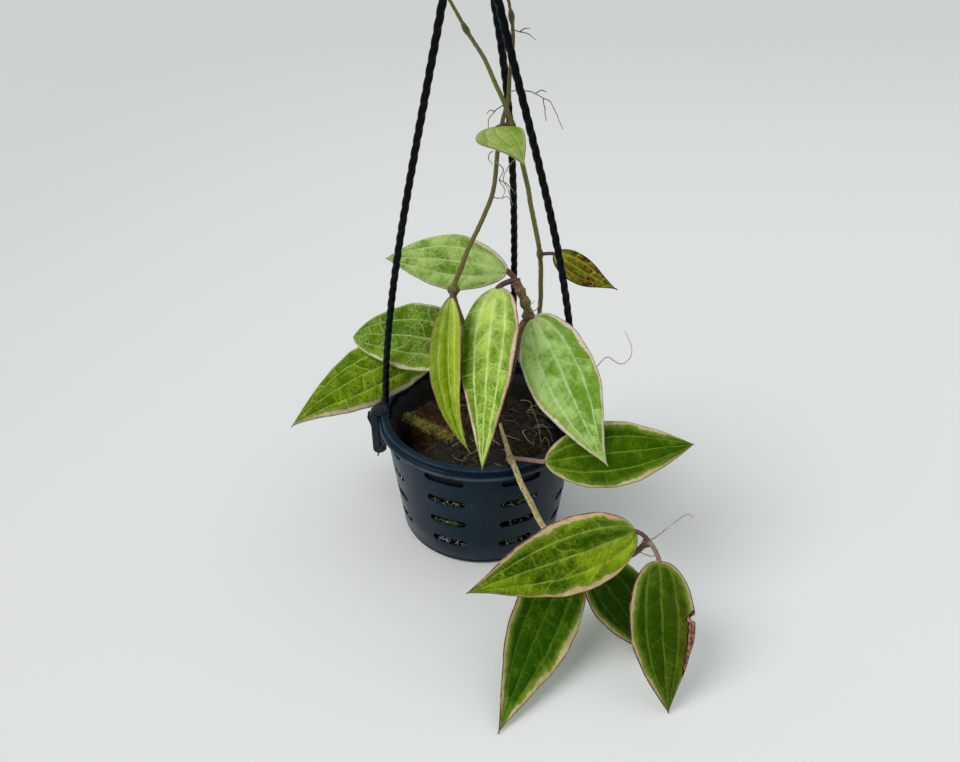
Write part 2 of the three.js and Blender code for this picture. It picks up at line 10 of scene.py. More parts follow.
import bpy
import numpy as np
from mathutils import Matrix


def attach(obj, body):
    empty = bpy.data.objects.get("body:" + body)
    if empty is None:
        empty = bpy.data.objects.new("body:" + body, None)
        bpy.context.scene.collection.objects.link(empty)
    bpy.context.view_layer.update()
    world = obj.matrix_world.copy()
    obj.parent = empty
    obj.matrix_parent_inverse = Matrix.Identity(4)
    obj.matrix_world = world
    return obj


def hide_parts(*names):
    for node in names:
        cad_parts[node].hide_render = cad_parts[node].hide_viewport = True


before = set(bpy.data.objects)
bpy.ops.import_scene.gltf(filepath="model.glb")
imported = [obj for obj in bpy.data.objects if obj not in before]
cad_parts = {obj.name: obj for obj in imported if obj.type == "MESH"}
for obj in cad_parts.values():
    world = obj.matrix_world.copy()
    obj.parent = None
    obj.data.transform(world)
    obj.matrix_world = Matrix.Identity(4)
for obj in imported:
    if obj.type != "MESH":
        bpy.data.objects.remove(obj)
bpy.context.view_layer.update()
MM = 0.001
UP = np.array([0, 0, 1])

# %% [markdown]
# The camera stands where the photographer stood: above the pot and looking down at it. A lens is
# set by its focal length against the sensor's width, so a focal length counted in pixels of the
# picture turns into millimetres when it is divided by the picture's width in pixels. The plain view
# transform shows a picked colour as it was picked.

# %% The camera
IMAGE_WIDTH = 960
FOCAL_PIXELS = 763
SENSOR_WIDTH = 36
CAMERA_PLACE = (-0.6, -377.65, 338.15)
CAMERA_DIP = 32.4

camera_data = bpy.data.cameras.new("camera")
camera_data.sensor_width = SENSOR_WIDTH
camera_data.lens = FOCAL_PIXELS / IMAGE_WIDTH * SENSOR_WIDTH
camera = bpy.data.objects.new("camera", camera_data)
camera.location = [value * MM for value in CAMERA_PLACE]
camera.rotation_euler = (math.radians(90 - CAMERA_DIP), 0, 0)
bpy.context.scene.collection.objects.link(camera)
bpy.context.scene.camera = camera
bpy.context.scene.view_settings.view_transform = "Standard"
print("lens in millimetres:", round(camera_data.lens, 2))

# %% [markdown]
# Soft studio light: one broad lamp high up on the left throws the short, soft shadows that fall to
# the right of the leaves, and a weaker one and a pale world fill them. A sun lamp does this evenly
# over the whole floor, and its angle sets how soft the shadows are. All are nearly white, so that
# the greens come from the leaves alone.

# %% The light
SUNS = {
    "soft sun": {"from": (-0.78, -0.3, 1.0), "strength": 1.6, "spread": 36, "tint": (1, 0.985, 0.955)},
    "fill sun": {"from": (0.75, 0.25, 1.0), "strength": 0.26, "spread": 60, "tint": (0.97, 0.99, 1)},
}


def add_sun(name, spec):
    """A sun lamp that shines from a direction; its spread in degrees makes its shadows soft."""
    data = bpy.data.lights.new(name, "SUN")
    data.energy = spec["strength"]
    data.angle = math.radians(spec["spread"])
    data.color = spec["tint"]
    sun = bpy.data.objects.new(name, data)
    x, y, z = spec["from"]
    sun.rotation_euler = (math.atan2(math.hypot(x, y), z), 0, math.atan2(x, -y))
    bpy.context.scene.collection.objects.link(sun)


for name, spec in SUNS.items():
    add_sun(name, spec)
print("lamps:", list(SUNS))

# %% [markdown]
# A finish is a tree of shader nodes. Short helpers keep the trees readable: one places a node and
# wires its inputs, a few do arithmetic, one is the soft step that most masks are made of, and others
# blend colours or make cloudy noise. Colours are picked as ordinary screen values and turned into
# the linear ones that the renderer works with. What several materials share is a node group, and
# one function makes a material from a group.

# %% Helpers for colours and nodes


def paint(red, green, blue):
    """A screen colour from 0 to 255 as linear light.

    Each part c of 0 to 1 becomes ((c + 0.055) / 1.055) to the power 2.4, or c / 12.92 near black.
    """
    parts = [value / 255 for value in (red, green, blue)]
    linear = [c / 12.92 if c < 0.04045 else ((c + 0.055) / 1.055) ** 2.4 for c in parts]
    return (*linear, 1)


def place(tree, kind, inputs=None, **settings):
    """Adds a shader node, and fills its inputs with plain values or with other nodes' outputs."""
    node = tree.nodes.new("ShaderNode" + kind)
    for key, value in settings.items():
        setattr(node, key, value)
    for key, value in (inputs or {}).items():
        if isinstance(value, bpy.types.NodeSocket):
            tree.links.new(value, node.inputs[key])
        else:
            node.inputs[key].default_value = value
    return node


def give(tree, end, results):
    """Wires outputs to the named inputs of a shader or of a group's end."""
    for key, socket in results.items():
        tree.links.new(socket, end.inputs[key])


print("middle grey as linear light:", round(paint(128, 128, 128)[0], 3))

# %% Helpers for masks and noise


def calc(tree, operation, first, second=0.0):
    """One step of arithmetic on numbers that change over the surface."""
    return place(tree, "Math", {0: first, 1: second}, operation=operation).outputs[0]


def add(tree, first, second):
    """The sum of two numbers."""
    return calc(tree, "ADD", first, second)


def less(tree, first, second):
    """The first number less the second."""
    return calc(tree, "SUBTRACT", first, second)


def times(tree, first, second):
    """The product of two numbers."""
    return calc(tree, "MULTIPLY", first, second)


def swing(tree, noise, amount):
    """Noise of 0 to 1 as a swing about zero: (noise - 1/2) × amount."""
    return times(tree, less(tree, noise, 0.5), amount)


def fade(tree, value, low, high, start=0.0, end=1.0):
    """A soft step from start, where the value is below low, to end, where it is above high."""
    inputs = {"Value": value, "From Min": low, "From Max": high, "To Min": start, "To Max": end}
    return place(tree, "MapRange", inputs, interpolation_type="SMOOTHSTEP").outputs[0]


def mix(tree, share, first, second):
    """The first colour where the share is 0, and the second where it is 1."""
    return place(tree, "Mix", {0: share, 6: first, 7: second}, data_type="RGBA").outputs[2]


def grain(tree, vector, scale, detail=2.0, roughness=0.5):
    """Cloudy noise from 0 to 1 with about scale clouds in each unit of the vector."""
    inputs = {"Vector": vector, "Scale": scale, "Detail": detail, "Roughness": roughness}
    return place(tree, "TexNoise", inputs).outputs[0]


def stretched(tree, vector, scale):
    """The vector with each of its three parts multiplied, which draws a pattern out one way."""
    return place(tree, "Mapping", {"Vector": vector, "Scale": scale}).outputs[0]


def relief(tree, height, reach):
    """A normal that tilts with the height; reach is how many metres a height of 1 stands for."""
    return place(tree, "Bump", {"Height": height, "Distance": reach}).outputs[0]


def object_place(tree):
    """Where a point lies in the part's own frame, in metres."""
    return place(tree, "TexCoord").outputs["Object"]


def kept(tree, name, output="Fac"):
    """What the mesh keeps at its points under a name, as a number or as a vector."""
    return place(tree, "Attribute", attribute_name=name).outputs[output]


print("helpers for masks and noise made")

# %% Helpers for groups and materials


def new_group(name, inputs, outputs):
    """An empty node group and its two ends. An input is a colour or a number, as its value is."""
    group = bpy.data.node_groups.new(name, "ShaderNodeTree")
    for label, value in inputs.items():
        kind = "NodeSocketColor" if isinstance(value, tuple) else "NodeSocketFloat"
        group.interface.new_socket(label, in_out="INPUT", socket_type=kind).default_value = value
    for label in outputs:
        kind = "NodeSocketColor" if label == "Color" else "NodeSocketFloat"
        group.interface.new_socket(label, in_out="OUTPUT", socket_type=kind)
    return group, group.nodes.new("NodeGroupInput"), group.nodes.new("NodeGroupOutput")


def new_finish(name):
    """An empty material, its tree and its Principled shader."""
    material = bpy.data.materials.new(name)
    material.use_nodes = True
    return material, material.node_tree, material.node_tree.nodes["Principled BSDF"]


def group_finish(name, group, values, reach, plain):
    """A material whose colour, relief and perhaps roughness come from a node group.

    The values fill the group's inputs, the reach is how high its relief stands in metres, and the
    plain ones are the shader's own settings, which are the same all over the surface.
    """
    material, tree, shader = new_finish(name)
    node = tree.nodes.new("ShaderNodeGroup")
    node.node_tree = group
    for key, value in values.items():
        node.inputs[key].default_value = value
    give(tree, shader, {"Base Color": node.outputs["Color"]})
    give(tree, shader, {"Normal": relief(tree, node.outputs["Height"], reach)})
    if "Roughness" in node.outputs:
        give(tree, shader, {"Roughness": node.outputs["Roughness"]})
    for key, value in plain.items():
        shader.inputs[key].default_value = value
    return material


print("helpers for groups and materials made")

# %% [markdown]
# The world is bright overhead and dim near the horizon, as a room with a white ceiling is. That
# keeps upright faces such as the pot's wall darker than faces that look up, and gives its gloss
# something to show. A direction's height z sets the strength: edge + (top - edge) z above the
# horizon, and the edge's own value below it.

# %% The sky
SKY_TOP = 0.72
SKY_EDGE = 0.24
SKY_TINT = (0.975, 1, 0.995, 1)
world = bpy.data.worlds.new("studio")
world.use_nodes = True
bpy.context.scene.world = world
sky = world.node_tree
sky_way = place(sky, "TexCoord").outputs["Generated"]
sky_height = place(sky, "SeparateXYZ", {0: sky_way}).outputs[2]
sky_range = {"Value": sky_height, "To Min": SKY_EDGE, "To Max": SKY_TOP}
sky.nodes["Background"].inputs["Color"].default_value = SKY_TINT
give(sky, sky.nodes["Background"], {"Strength": place(sky, "MapRange", sky_range).outputs[0]})
print("sky from", SKY_EDGE, "to", SKY_TOP)

# %% [markdown]
# The floor runs far behind the pot, so that it alone fills the picture, as a roll of pale paper
# does in a studio. Painted shade makes it a little darker to the left and far away, where less
# light would reach it. It is part of the stage and not of the object.

# %% The floor
FLOOR_REACH = 9000
PAPER = (paint(223, 226, 226), paint(227, 230, 230))
# Painted shade: darker paper to the left and far away.
PAPER_LEFT_SHADE = {"colour": paint(208, 211, 212), "fade": (-0.85, 0.0, 1.0, 0.0)}
PAPER_FAR_SHADE = {"colour": paint(206, 210, 209), "fade": (-0.35, 2.2)}

floor_corners = [(-1, -1, 0), (1, -1, 0), (1, 1, 0), (-1, 1, 0)]
floor_points = [tuple(FLOOR_REACH * MM * value for value in corner) for corner in floor_corners]
floor_mesh = bpy.data.meshes.new("floor")
floor_mesh.from_pydata(floor_points, [], [(0, 1, 2, 3)])
floor = bpy.data.objects.new("floor", floor_mesh)
bpy.context.scene.collection.objects.link(floor)
floor_finish, tree, shader = new_finish("pale paper")
floor_spot = object_place(tree)
floor_x, floor_y, _ = place(tree, "SeparateXYZ", {0: floor_spot}).outputs
paper = mix(tree, grain(tree, floor_spot, 1.1, 1.0), *PAPER)
# Painted shade: the paper darkens to the left and far from the pot, where less light reaches it.
paper = mix(tree, fade(tree, floor_x, *PAPER_LEFT_SHADE["fade"]), paper, PAPER_LEFT_SHADE["colour"])
paper = mix(tree, fade(tree, floor_y, *PAPER_FAR_SHADE["fade"]), paper, PAPER_FAR_SHADE["colour"])
give(tree, shader, {"Base Color": paper})
shader.inputs["Roughness"].default_value = 0.7
floor_mesh.materials.append(floor_finish)
print("floor side in metres:", 2 * FLOOR_REACH * MM)

# %% [markdown]
# Each piece is a skin stretched over rings of points: a leaf's ring runs over its upper face and
# back under its lower one, a stem's ring is a circle, and a pot's ring runs round its axis. So one
# function makes the faces of nearly everything here. Neighbouring rings are joined with quads, and
# a fan of triangles closes each end.

# %% Helpers for angles, steps and noise
WAVES = 6


def unit(vectors):
    """Each vector divided by its own length: v / |v|."""
    return vectors / np.linalg.norm(vectors, axis=-1, keepdims=True)


def turns(sides):
    """Angles spread evenly round a circle."""
    return np.arange(sides) * 2 * math.pi / sides


def around(reach, turn, height):
    """Points at a distance from the upright axis, at an angle and a height."""
    return np.stack([reach * np.cos(turn), reach * np.sin(turn), height + 0 * turn], -1)


def soft_step(value, low, high):
    """0 below low and 1 above high, and 3x² - 2x³ between them, with x = (value - low) / (high - low)."""
    x = np.clip((value - low) / (high - low), 0, 1)
    return x * x * (3 - 2 * x)


def hump(away, width):
    """A smooth hump, 1 in its middle: exp(-(away / width)²)."""
    return np.exp(-((away / width) ** 2))


def ripple(points, size, seed):
    """Smooth noise of about -1 to 1: the sum of six sines of the place, over wavelengths near size."""
    chance = np.random.default_rng(seed)
    ways = unit(chance.normal(size=(WAVES, 3)))
    waves = ways * chance.uniform(0.6, 1.5, (WAVES, 1)) * 2 * math.pi / size
    return np.sin(points @ waves.T + chance.uniform(0, 2 * math.pi, WAVES)).sum(-1) / 3


print("a quarter of the way up a soft step:", round(float(soft_step(0.25, 0, 1)), 3))

# %% Helpers for faces and pieces


def skin(rings):
    """Faces over rings of points, as (points, faces). A ring runs anticlockwise round its advance."""
    count, sides = rings.shape[:2]
    middles = np.stack([rings[0].mean(0), rings[-1].mean(0)])
    points = np.concatenate([rings.reshape(-1, 3), middles])
    here = np.arange(count * sides).reshape(count, sides)
    after = np.roll(here, -1, axis=1)
    walls = np.stack([here[:-1], after[:-1], after[1:], here[1:]], -1).reshape(-1, 4)
    first = np.stack([np.full(sides, count * sides), after[0], here[0]], -1)
    last = np.stack([np.full(sides, count * sides + 1), here[-1], after[-1]], -1)
    return points, [walls, first, last]


def joined(parts):
    """Several (points, faces) as one, with the later ones' faces counted on."""
    points, faces, start = [], [], 0
    for part_points, part_faces in parts:
        points.append(part_points)
        faces.extend(face + start for face in part_faces)
        start += len(part_points)
    return np.concatenate(points), faces


def on_rings(values, rings):
    """One number per ring point, and the mean of an end ring for the middle of its fan."""
    ends = np.stack([values[0].mean(0), values[-1].mean(0)])
    return np.concatenate([values.reshape(-1, *values.shape[2:]), ends])


def fill_mesh(name, points, faces, numbers=None, sharp=180):
    """A smooth mesh in metres from points in millimetres, with named numbers kept at its points."""
    mesh = bpy.data.meshes.new(name)
    corners = np.concatenate([face.ravel() for face in faces])
    sizes = np.concatenate([np.full(len(face), face.shape[1]) for face in faces])
    mesh.vertices.add(len(points))
    mesh.vertices.foreach_set("co", np.ravel(points * MM).astype(np.float32))
    mesh.loops.add(len(corners))
    mesh.loops.foreach_set("vertex_index", corners.astype(np.int32))
    mesh.polygons.add(len(sizes))
    mesh.polygons.foreach_set("loop_start", (np.cumsum(sizes) - sizes).astype(np.int32))
    mesh.update(calc_edges=True)
    for key, values in (numbers or {}).items():
        flat = values.ndim == 1
        layer = mesh.attributes.new(key, "FLOAT" if flat else "FLOAT_VECTOR", "POINT")
        layer.data.foreach_set("value" if flat else "vector", np.ravel(values).astype(np.float32))
    mesh.shade_smooth()
    if sharp < 180:
        mesh.set_sharp_from_angle(angle=math.radians(sharp))
    return mesh


def add_piece(name, mesh, finish, replaces=()):
    """Puts a mesh in the scene as a piece that rides with the part and stands for some CAD nodes."""
    mesh.materials.append(finish)
    piece = bpy.data.objects.new(name, mesh)
    bpy.context.scene.collection.objects.link(piece)
    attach(piece, "root")
    if replaces:
        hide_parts(*replaces)
    print(name, "points:", len(mesh.vertices), "faces:", len(mesh.polygons))


def make_piece(name, shape, finish, replaces=(), numbers=None, sharp=180):
    """A piece straight from its (points, faces) and the numbers that its finish reads."""
    add_piece(name, fill_mesh(name, *shape, numbers, sharp), finish, replaces)


print("faces over two rings of eight points:", sum(len(kind) for kind in skin(np.zeros((2, 8, 3)))[1]))

# %% Helpers for curves, tubes and hairs
FIRST_ACROSS = (0.9, 0.2, 0.4)
HAIR_ACROSS = (0.31, 0.52, 0.79)
TINY = 1e-9


def through(corners, per_span):
    """A centripetal Catmull-Rom curve through the corners, with per_span points in each span.

    Each span is the cubic (2s³-3s²+1) p + (s³-2s²+s) m + (3s²-2s³) q + (s³-s²) n between its corners
    p and q, where the slopes m and n weigh their neighbours by the square root of their distance.
    """
    corners = np.array(corners, float)
    full = np.vstack([2 * corners[0] - corners[1], corners, 2 * corners[-1] - corners[-2]])
    gap = np.sqrt(np.linalg.norm(np.diff(full, axis=0), axis=1))[:, None]
    before, p, q, after = full[:-3], full[1:-2], full[2:-1], full[3:]
    g0, g1, g2 = gap[:-2], gap[1:-1], gap[2:]
    m = g1 * ((p - before) / g0 - (q - before) / (g0 + g1) + (q - p) / g1)
    n = g1 * ((q - p) / g1 - (after - p) / (g1 + g2) + (after - q) / g2)
    s = (np.arange(per_span) / per_span)[:, None, None]
    spans = (2 * s**3 - 3 * s**2 + 1) * p + (s**3 - 2 * s**2 + s) * m
    spans = spans + (3 * s**2 - 2 * s**3) * q + (s**3 - s**2) * n
    return np.vstack([spans.transpose(1, 0, 2).reshape(-1, 3), corners[-1]])


def bezier(a, b, c, d, t):
    """The cubic Bezier (1-t)³ a + 3(1-t)² t b + 3(1-t) t² c + t³ d."""
    t = t[:, None]
    return (1 - t) ** 3 * a + 3 * (1 - t) ** 2 * t * b + 3 * (1 - t) * t**2 * c + t**3 * d


def tube_rings(path, reach):
    """Rings round a path: path + reach (across cos a + up sin a), one row of reach per ring.

    The across direction is carried from ring to ring: the last one, made square to the new heading.
    """
    heading = unit(np.gradient(path, axis=0))
    across = np.zeros_like(path)
    last = np.array(FIRST_ACROSS)
    for ring, ahead in enumerate(heading):
        last = last - last @ ahead * ahead
        last = last / math.sqrt(last @ last)
        across[ring] = last
    up = np.cross(heading, across)
    angle = turns(reach.shape[1])[:, None]
    spokes = across[:, None] * np.cos(angle) + up[:, None] * np.sin(angle)
    return path[:, None] + reach[:, :, None] * spokes


def round_tube(path, radius, sides):
    """The rings of a plain round tube, with one radius for each point of its path."""
    return tube_rings(path, radius[:, None] * np.ones((1, sides)))


def roughened(rings, path, depth, size, seed):
    """Rings pushed out from their path by depth times smooth noise of a size."""
    return rings + unit(rings - path[:, None]) * (depth * ripple(rings, size, seed))[..., None]


def wandering(path, depth, size, seed):
    """A path shifted a little every way by smooth noise, with a seed for each direction."""
    return path + depth * np.stack([ripple(path, size, seed + axis) for axis in range(3)], -1)


def run_length(path):
    """How far along the path each of its points lies."""
    steps = np.linalg.norm(np.diff(path, axis=0), axis=1)
    return np.concatenate([[0], np.cumsum(steps)])


def hairs(paths, radii, tones, sides=3):
    """Many thin fibres in one go, as (points, faces, tone of each point).

    paths holds a row of points for each fibre, and radii the half thickness at each of them. The
    section is a triangle set square to the fibre, and both ends are closed.
    """
    many, steps = paths.shape[:2]
    heading = unit(np.gradient(paths, axis=1) + TINY)
    across = unit(np.cross(heading, np.array(HAIR_ACROSS)) + TINY)
    up = np.cross(heading, across)
    angle = turns(sides)[:, None]
    spokes = across[:, :, None] * np.cos(angle) + up[:, :, None] * np.sin(angle)
    points = paths[:, :, None] + radii[:, :, None, None] * spokes
    here = np.arange(many * steps * sides).reshape(many, steps, sides)
    after = np.roll(here, -1, axis=2)
    walls = np.stack([here[:, :-1], after[:, :-1], after[:, 1:], here[:, 1:]], -1).reshape(-1, 4)
    tone = np.repeat(tones, steps * sides)
    return points.reshape(-1, 3), [walls, here[:, 0, ::-1], here[:, -1]], tone


print("points on a curve of two spans:", len(through([(0, 0, 0), (1, 0, 0), (2, 1, 0)], 5)))

# %% [markdown]
# The pot, hanger and hook are injection-moulded plastic. It is blue-black and satin, a little dusty
# and scuffed, and finely pebbled where the mould was. One node group makes that plastic, and each
# moulding takes it with its own colour, so that they match without being the same. Painted
# highlights on the pot's lip, rim and bead and on the crests of the strands are marked on the mesh
# by a number called worn, and take the pale dust colour.

# %% Moulded plastic
plastic, plastic_in, plastic_out = new_group(
    "moulded plastic",
    {
        "Plastic": paint(20, 26, 32),
        "Dust and highlight": paint(112, 122, 132),
        "Dustiness": 0.1,
        "Pebble": 900.0,
    },
    ["Color", "Roughness", "Height"],
)
spot = object_place(plastic)
dust_cloud = fade(plastic, grain(plastic, spot, 38, 5, 0.65), 0.42, 0.72)
speck = fade(plastic, grain(plastic, spot, 620, 2), 0.6, 0.74)
scratch = grain(plastic, stretched(plastic, spot, (1, 1, 0.06)), 460, 2)
scratch = fade(plastic, scratch, 0.64, 0.72)
# Noise that breaks up the painted highlights.
highlight_breakup = fade(plastic, grain(plastic, spot, 90, 3), 0.3, 0.6, 0.5, 1)
dust_and_highlight = add(plastic, dust_cloud, times(plastic, speck, 0.6))
dust_and_highlight = times(plastic, dust_and_highlight, plastic_in.outputs["Dustiness"])
dust_and_highlight = add(plastic, dust_and_highlight, times(plastic, scratch, 0.035))
# Painted highlight: where the mesh's worn number is high, the colour goes to the pale dust colour.
dust_and_highlight = add(plastic, dust_and_highlight, times(plastic, kept(plastic, "worn"), highlight_breakup))
shade = times(plastic, grain(plastic, spot, 14, 2), 0.4)
deeper = mix(plastic, shade, plastic_in.outputs["Plastic"], paint(10, 16, 22))
pebble = grain(plastic, spot, plastic_in.outputs["Pebble"], 2)
give(plastic, plastic_out, {
    "Color": mix(plastic, dust_and_highlight, deeper, plastic_in.outputs["Dust and highlight"]),
    "Roughness": add(plastic, 0.24, times(plastic, dust_cloud, 0.14)),
    "Height": add(plastic, pebble, times(plastic, scratch, -0.5)),
})


def plastic_finish(name, colour, dustiness, pebble_reach, gloss):
    """Moulded plastic of one colour, with a pebble that stands pebble_reach metres high."""
    values = {"Plastic": colour, "Dustiness": dustiness}
    return group_finish(name, plastic, values, pebble_reach, {"Specular IOR Level": gloss})


pot_plastic = plastic_finish("pot plastic", paint(3, 35, 52), 0.035, 0.00008, 0.13)
hanger_plastic = plastic_finish("hanger plastic", paint(3, 8, 12), 0.012, 0.00005, 0.08)
clip_plastic = plastic_finish("clip plastic", paint(28, 34, 46), 0.3, 0.00015, 0.2)
print("plastics:", pot_plastic.name, hanger_plastic.name, clip_plastic.name)

# %% [markdown]
# The pot is a turned shape, so its wall is one profile carried round the axis. The rim turns out in
# a flared lip that catches a line of light, with a second, finer bead under it; the lip, the rim's top
# edge and the bead also get a painted highlight. Parts of the profile are written as steps from the
# radius and height that they belong to.

# %% The pot's body
POT_HEIGHT = 79
RIM_RADIUS = 59.6
RIM_BOTTOM = 73.4
WALL_RADIUS_AT_BASE = 49.35
WALL_FLARE = 0.115
WALL_THICKNESS = 1.7
BEAD_HEIGHT = 70.6
POT_SIDES = 180
FOOT = [
    (46.6, 0), (47.4, 0), (48.2, 0.2), (48.9, 0.7), (49.35, 1.4), (49.55, 2.0),
    (49.468, 2.6), (49.468, 3.0), (49.764, 3.4),
]
BEAD = [(-0.05, -0.9), (0.45, -0.45), (0.6, 0), (0.45, 0.45), (-0.1, 0.9)]
LIP = [(0.2, -0.7), (1.1, -0.4), (1.5, 0.1), (1.35, 0.65), (0.55, 1.15), (-0.35, 1.4), (-1.1, 1.9)]
RIM_TOP = [(-1.1, -2.3), (-0.3, -1.7), (0, -0.9), (-0.3, -0.3), (-0.9, 0)]
INNER_EDGE = [(-1.9, 0), (-2.6, -0.3), (-2.9, -1.1), (-2.7, -2.0)]
FLOOR_EDGE = (46.6, 2.2)


def wall_radius(z):
    """The outer radius of the tapering wall at a height: base radius + flare × height."""
    return WALL_RADIUS_AT_BASE + WALL_FLARE * z


def on_wall(z, out=0.0):
    """A profile point on the wall's outer face, or pushed out from it by a little."""
    return (wall_radius(z) + out, z)


def moved(rows, radius, height):
    """Profile points given as steps from a radius and a height."""
    return [(radius + out, height + up) for out, up in rows]


def turned(profile, sides):
    """Rings of a profile of (radius, height) carried round the upright axis."""
    profile = np.array(profile, float)
    return around(profile[:, :1], turns(sides), profile[:, 1:])


wall_top = wall_radius(RIM_BOTTOM)
pot_profile = [
    *FOOT,
    on_wall(20),
    on_wall(45),
    *moved(BEAD, wall_radius(BEAD_HEIGHT), BEAD_HEIGHT),
    (wall_top - 0.15, RIM_BOTTOM - 0.6),
    *moved(LIP, RIM_RADIUS, RIM_BOTTOM),
    *moved(RIM_TOP, RIM_RADIUS, POT_HEIGHT),
    *moved(INNER_EDGE, wall_top, POT_HEIGHT),
    (wall_top - WALL_THICKNESS, RIM_BOTTOM - 0.5),
    on_wall(6, -WALL_THICKNESS),
    FLOOR_EDGE,
]
pot_rings = turned(pot_profile, POT_SIDES)
past_rim = np.hypot(pot_rings[..., 0], pot_rings[..., 1]) - RIM_RADIUS
height = pot_rings[..., 2]
on_lip = soft_step(past_rim, 0.9, 1.3)
on_top = soft_step(height, POT_HEIGHT - 1, POT_HEIGHT - 0.3) * soft_step(past_rim, -1.2, -0.3)
on_bead = hump(height - BEAD_HEIGHT, 0.4)
# Painted highlight: lines of light painted pale on the lip, the rim's top edge and the bead.
pot_painted_highlight = 0.34 * on_lip + 0.2 * on_top + 0.16 * on_bead
print("pot profile points:", len(pot_profile))

# %% [markdown]
# The wall has four rows of eight slots, and the floor has six drain slots. They are cut with one
# Boolean modifier and a mesh of all the cutters, which is quicker than thirty-eight cuts. A slot is
# an outline with round ends, so each cutter is that outline pushed through the wall. The slots are
# a little taller than in the CAD part, because roots and shade in them make them look so.

# %% Slots and drains
SLOT_HEIGHTS = [16.8, 33.5, 50.3, 67]
SLOT_COLUMNS = 8
SLOT_FIRST_AZIMUTH = -66.5
SLOT_SPREAD = 24
SLOT_HEIGHT = 5.2
SLOT_CUT = (-9, 5)
DRAINS = 6
DRAIN_SIZE = (16, 4)
DRAIN_REACH = 30
DRAIN_CUT = (-3, 5)


def stadium(width, height, steps=9):
    """An outline with round ends: a half circle of the height about each end of a straight middle."""
    angle = np.radians(np.linspace(-90, 90, steps))
    half = height / 2
    right = np.stack([width / 2 - half + half * np.cos(angle), half * np.sin(angle)], -1)
    return np.concatenate([right, -right])


def at_azimuth(points, azimuth):
    """Points of (outward, sideways, height) turned about the upright axis to an azimuth."""
    turn = math.radians(azimuth)
    x = points[..., 0] * math.cos(turn) - points[..., 1] * math.sin(turn)
    y = points[..., 0] * math.sin(turn) + points[..., 1] * math.cos(turn)
    return np.stack([x, y, points[..., 2]], -1)


def lifted(outline, z):
    """A flat outline at a height."""
    return np.column_stack([outline, np.full(len(outline), z)])


def stood(outline, outward, z):
    """An outline stood upright at a distance from the axis, with its middle at a height."""
    return np.column_stack([np.full(len(outline), outward), outline[:, 0], outline[:, 1] + z])


def slot_cutter(z, azimuth):
    """A stadium pushed radially through the wall at a height and an azimuth."""
    width = 2 * wall_radius(z) * math.sin(math.radians(SLOT_SPREAD / 2))
    outline = stadium(width, SLOT_HEIGHT)
    ends = [stood(outline, wall_radius(z) + step, z) for step in SLOT_CUT]
    return skin(at_azimuth(np.stack(ends), azimuth))


def drain_cutter(azimuth):
    """A stadium pushed up through the floor, with its length pointing away from the axis."""
    outline = stadium(*DRAIN_SIZE) + [DRAIN_REACH, 0]
    return skin(at_azimuth(np.stack([lifted(outline, z) for z in DRAIN_CUT]), azimuth))


def linked(name, mesh):
    """A helper object in the scene that holds a mesh."""
    helper = bpy.data.objects.new(name, mesh)
    bpy.context.scene.collection.objects.link(helper)
    return helper


columns = [SLOT_FIRST_AZIMUTH + 360 * column / SLOT_COLUMNS for column in range(SLOT_COLUMNS)]
cutters = [slot_cutter(z, azimuth) for z in SLOT_HEIGHTS for azimuth in columns]
cutters += [drain_cutter(360 * drain / DRAINS) for drain in range(DRAINS)]
cutter = linked("cutter", fill_mesh("cutter", *joined(cutters)))
# The worn number carries the pot's painted highlight.
pot_numbers = {"worn": on_rings(pot_painted_highlight, pot_rings)}
blank = linked("blank", fill_mesh("blank", *skin(pot_rings), pot_numbers))
cut = blank.modifiers.new("slots", "BOOLEAN")
cut.operation = "DIFFERENCE"
cut.solver = "EXACT"
cut.object = cutter
shown = blank.evaluated_get(bpy.context.evaluated_depsgraph_get())
pot_mesh = bpy.data.meshes.new_from_object(shown)
pot_mesh.name = "pot_shell"
pot_mesh.shade_smooth()
pot_mesh.set_sharp_from_angle(angle=math.radians(32))
bpy.data.objects.remove(blank)
bpy.data.objects.remove(cutter)
add_piece("pot_shell", pot_mesh, pot_plastic, ["pot"])

# %% [markdown]
# Three small lugs stand out from the rim like ears and lean outwards, and each hanger's clip is
# folded over one. A lug is a stack of rounded outlines that grow towards its top.

# %% Lugs on the rim
AZIMUTHS = {"hanger_left": 183, "hanger_back": 68, "hanger_right": -27}
LUG_ROOT = 57.6
LUG_REACH = 68
LUG_FOOT_REACH = 65.6
LUG_HALF_WIDTH = 3.9
LUG_BOTTOM = 69.5
LUG_TOP = 77.4
LUG_CORNER = 0.8
LUG_LEVELS = [
    (LUG_BOTTOM, 0.0, 0.5), (LUG_BOTTOM + 0.5, 0.08, 0), (LUG_TOP - 0.5, 0.95, 0), (LUG_TOP, 1, 0.5),
]


def rounded_outline(x_low, x_high, y_low, y_high, radius, steps=4):
    """A rectangle whose corners are quarter circles, anticlockwise."""
    angle = np.radians(np.linspace(0, 90, steps + 1))
    arcs = []
    for x, y, start in [(x_high, y_high, 0), (x_low, y_high, 90), (x_low, y_low, 180), (x_high, y_low, 270)]:
        centre_x = x - radius if x == x_high else x + radius
        centre_y = y - radius if y == y_high else y + radius
        turn = angle + math.radians(start)
        arcs.append(np.stack([centre_x + radius * np.cos(turn), centre_y + radius * np.sin(turn)], -1))
    return np.concatenate(arcs)


def lug(azimuth):
    """Outlines that reach further out towards the top; each level is (height, share, inset)."""
    rings = []
    for z, share, inset in LUG_LEVELS:
        reach = LUG_FOOT_REACH + (LUG_REACH - LUG_FOOT_REACH) * share - inset
        side = LUG_HALF_WIDTH - inset
        rings.append(lifted(rounded_outline(LUG_ROOT, reach, -side, side, LUG_CORNER), z))
    return skin(at_azimuth(np.stack(rings), azimuth))


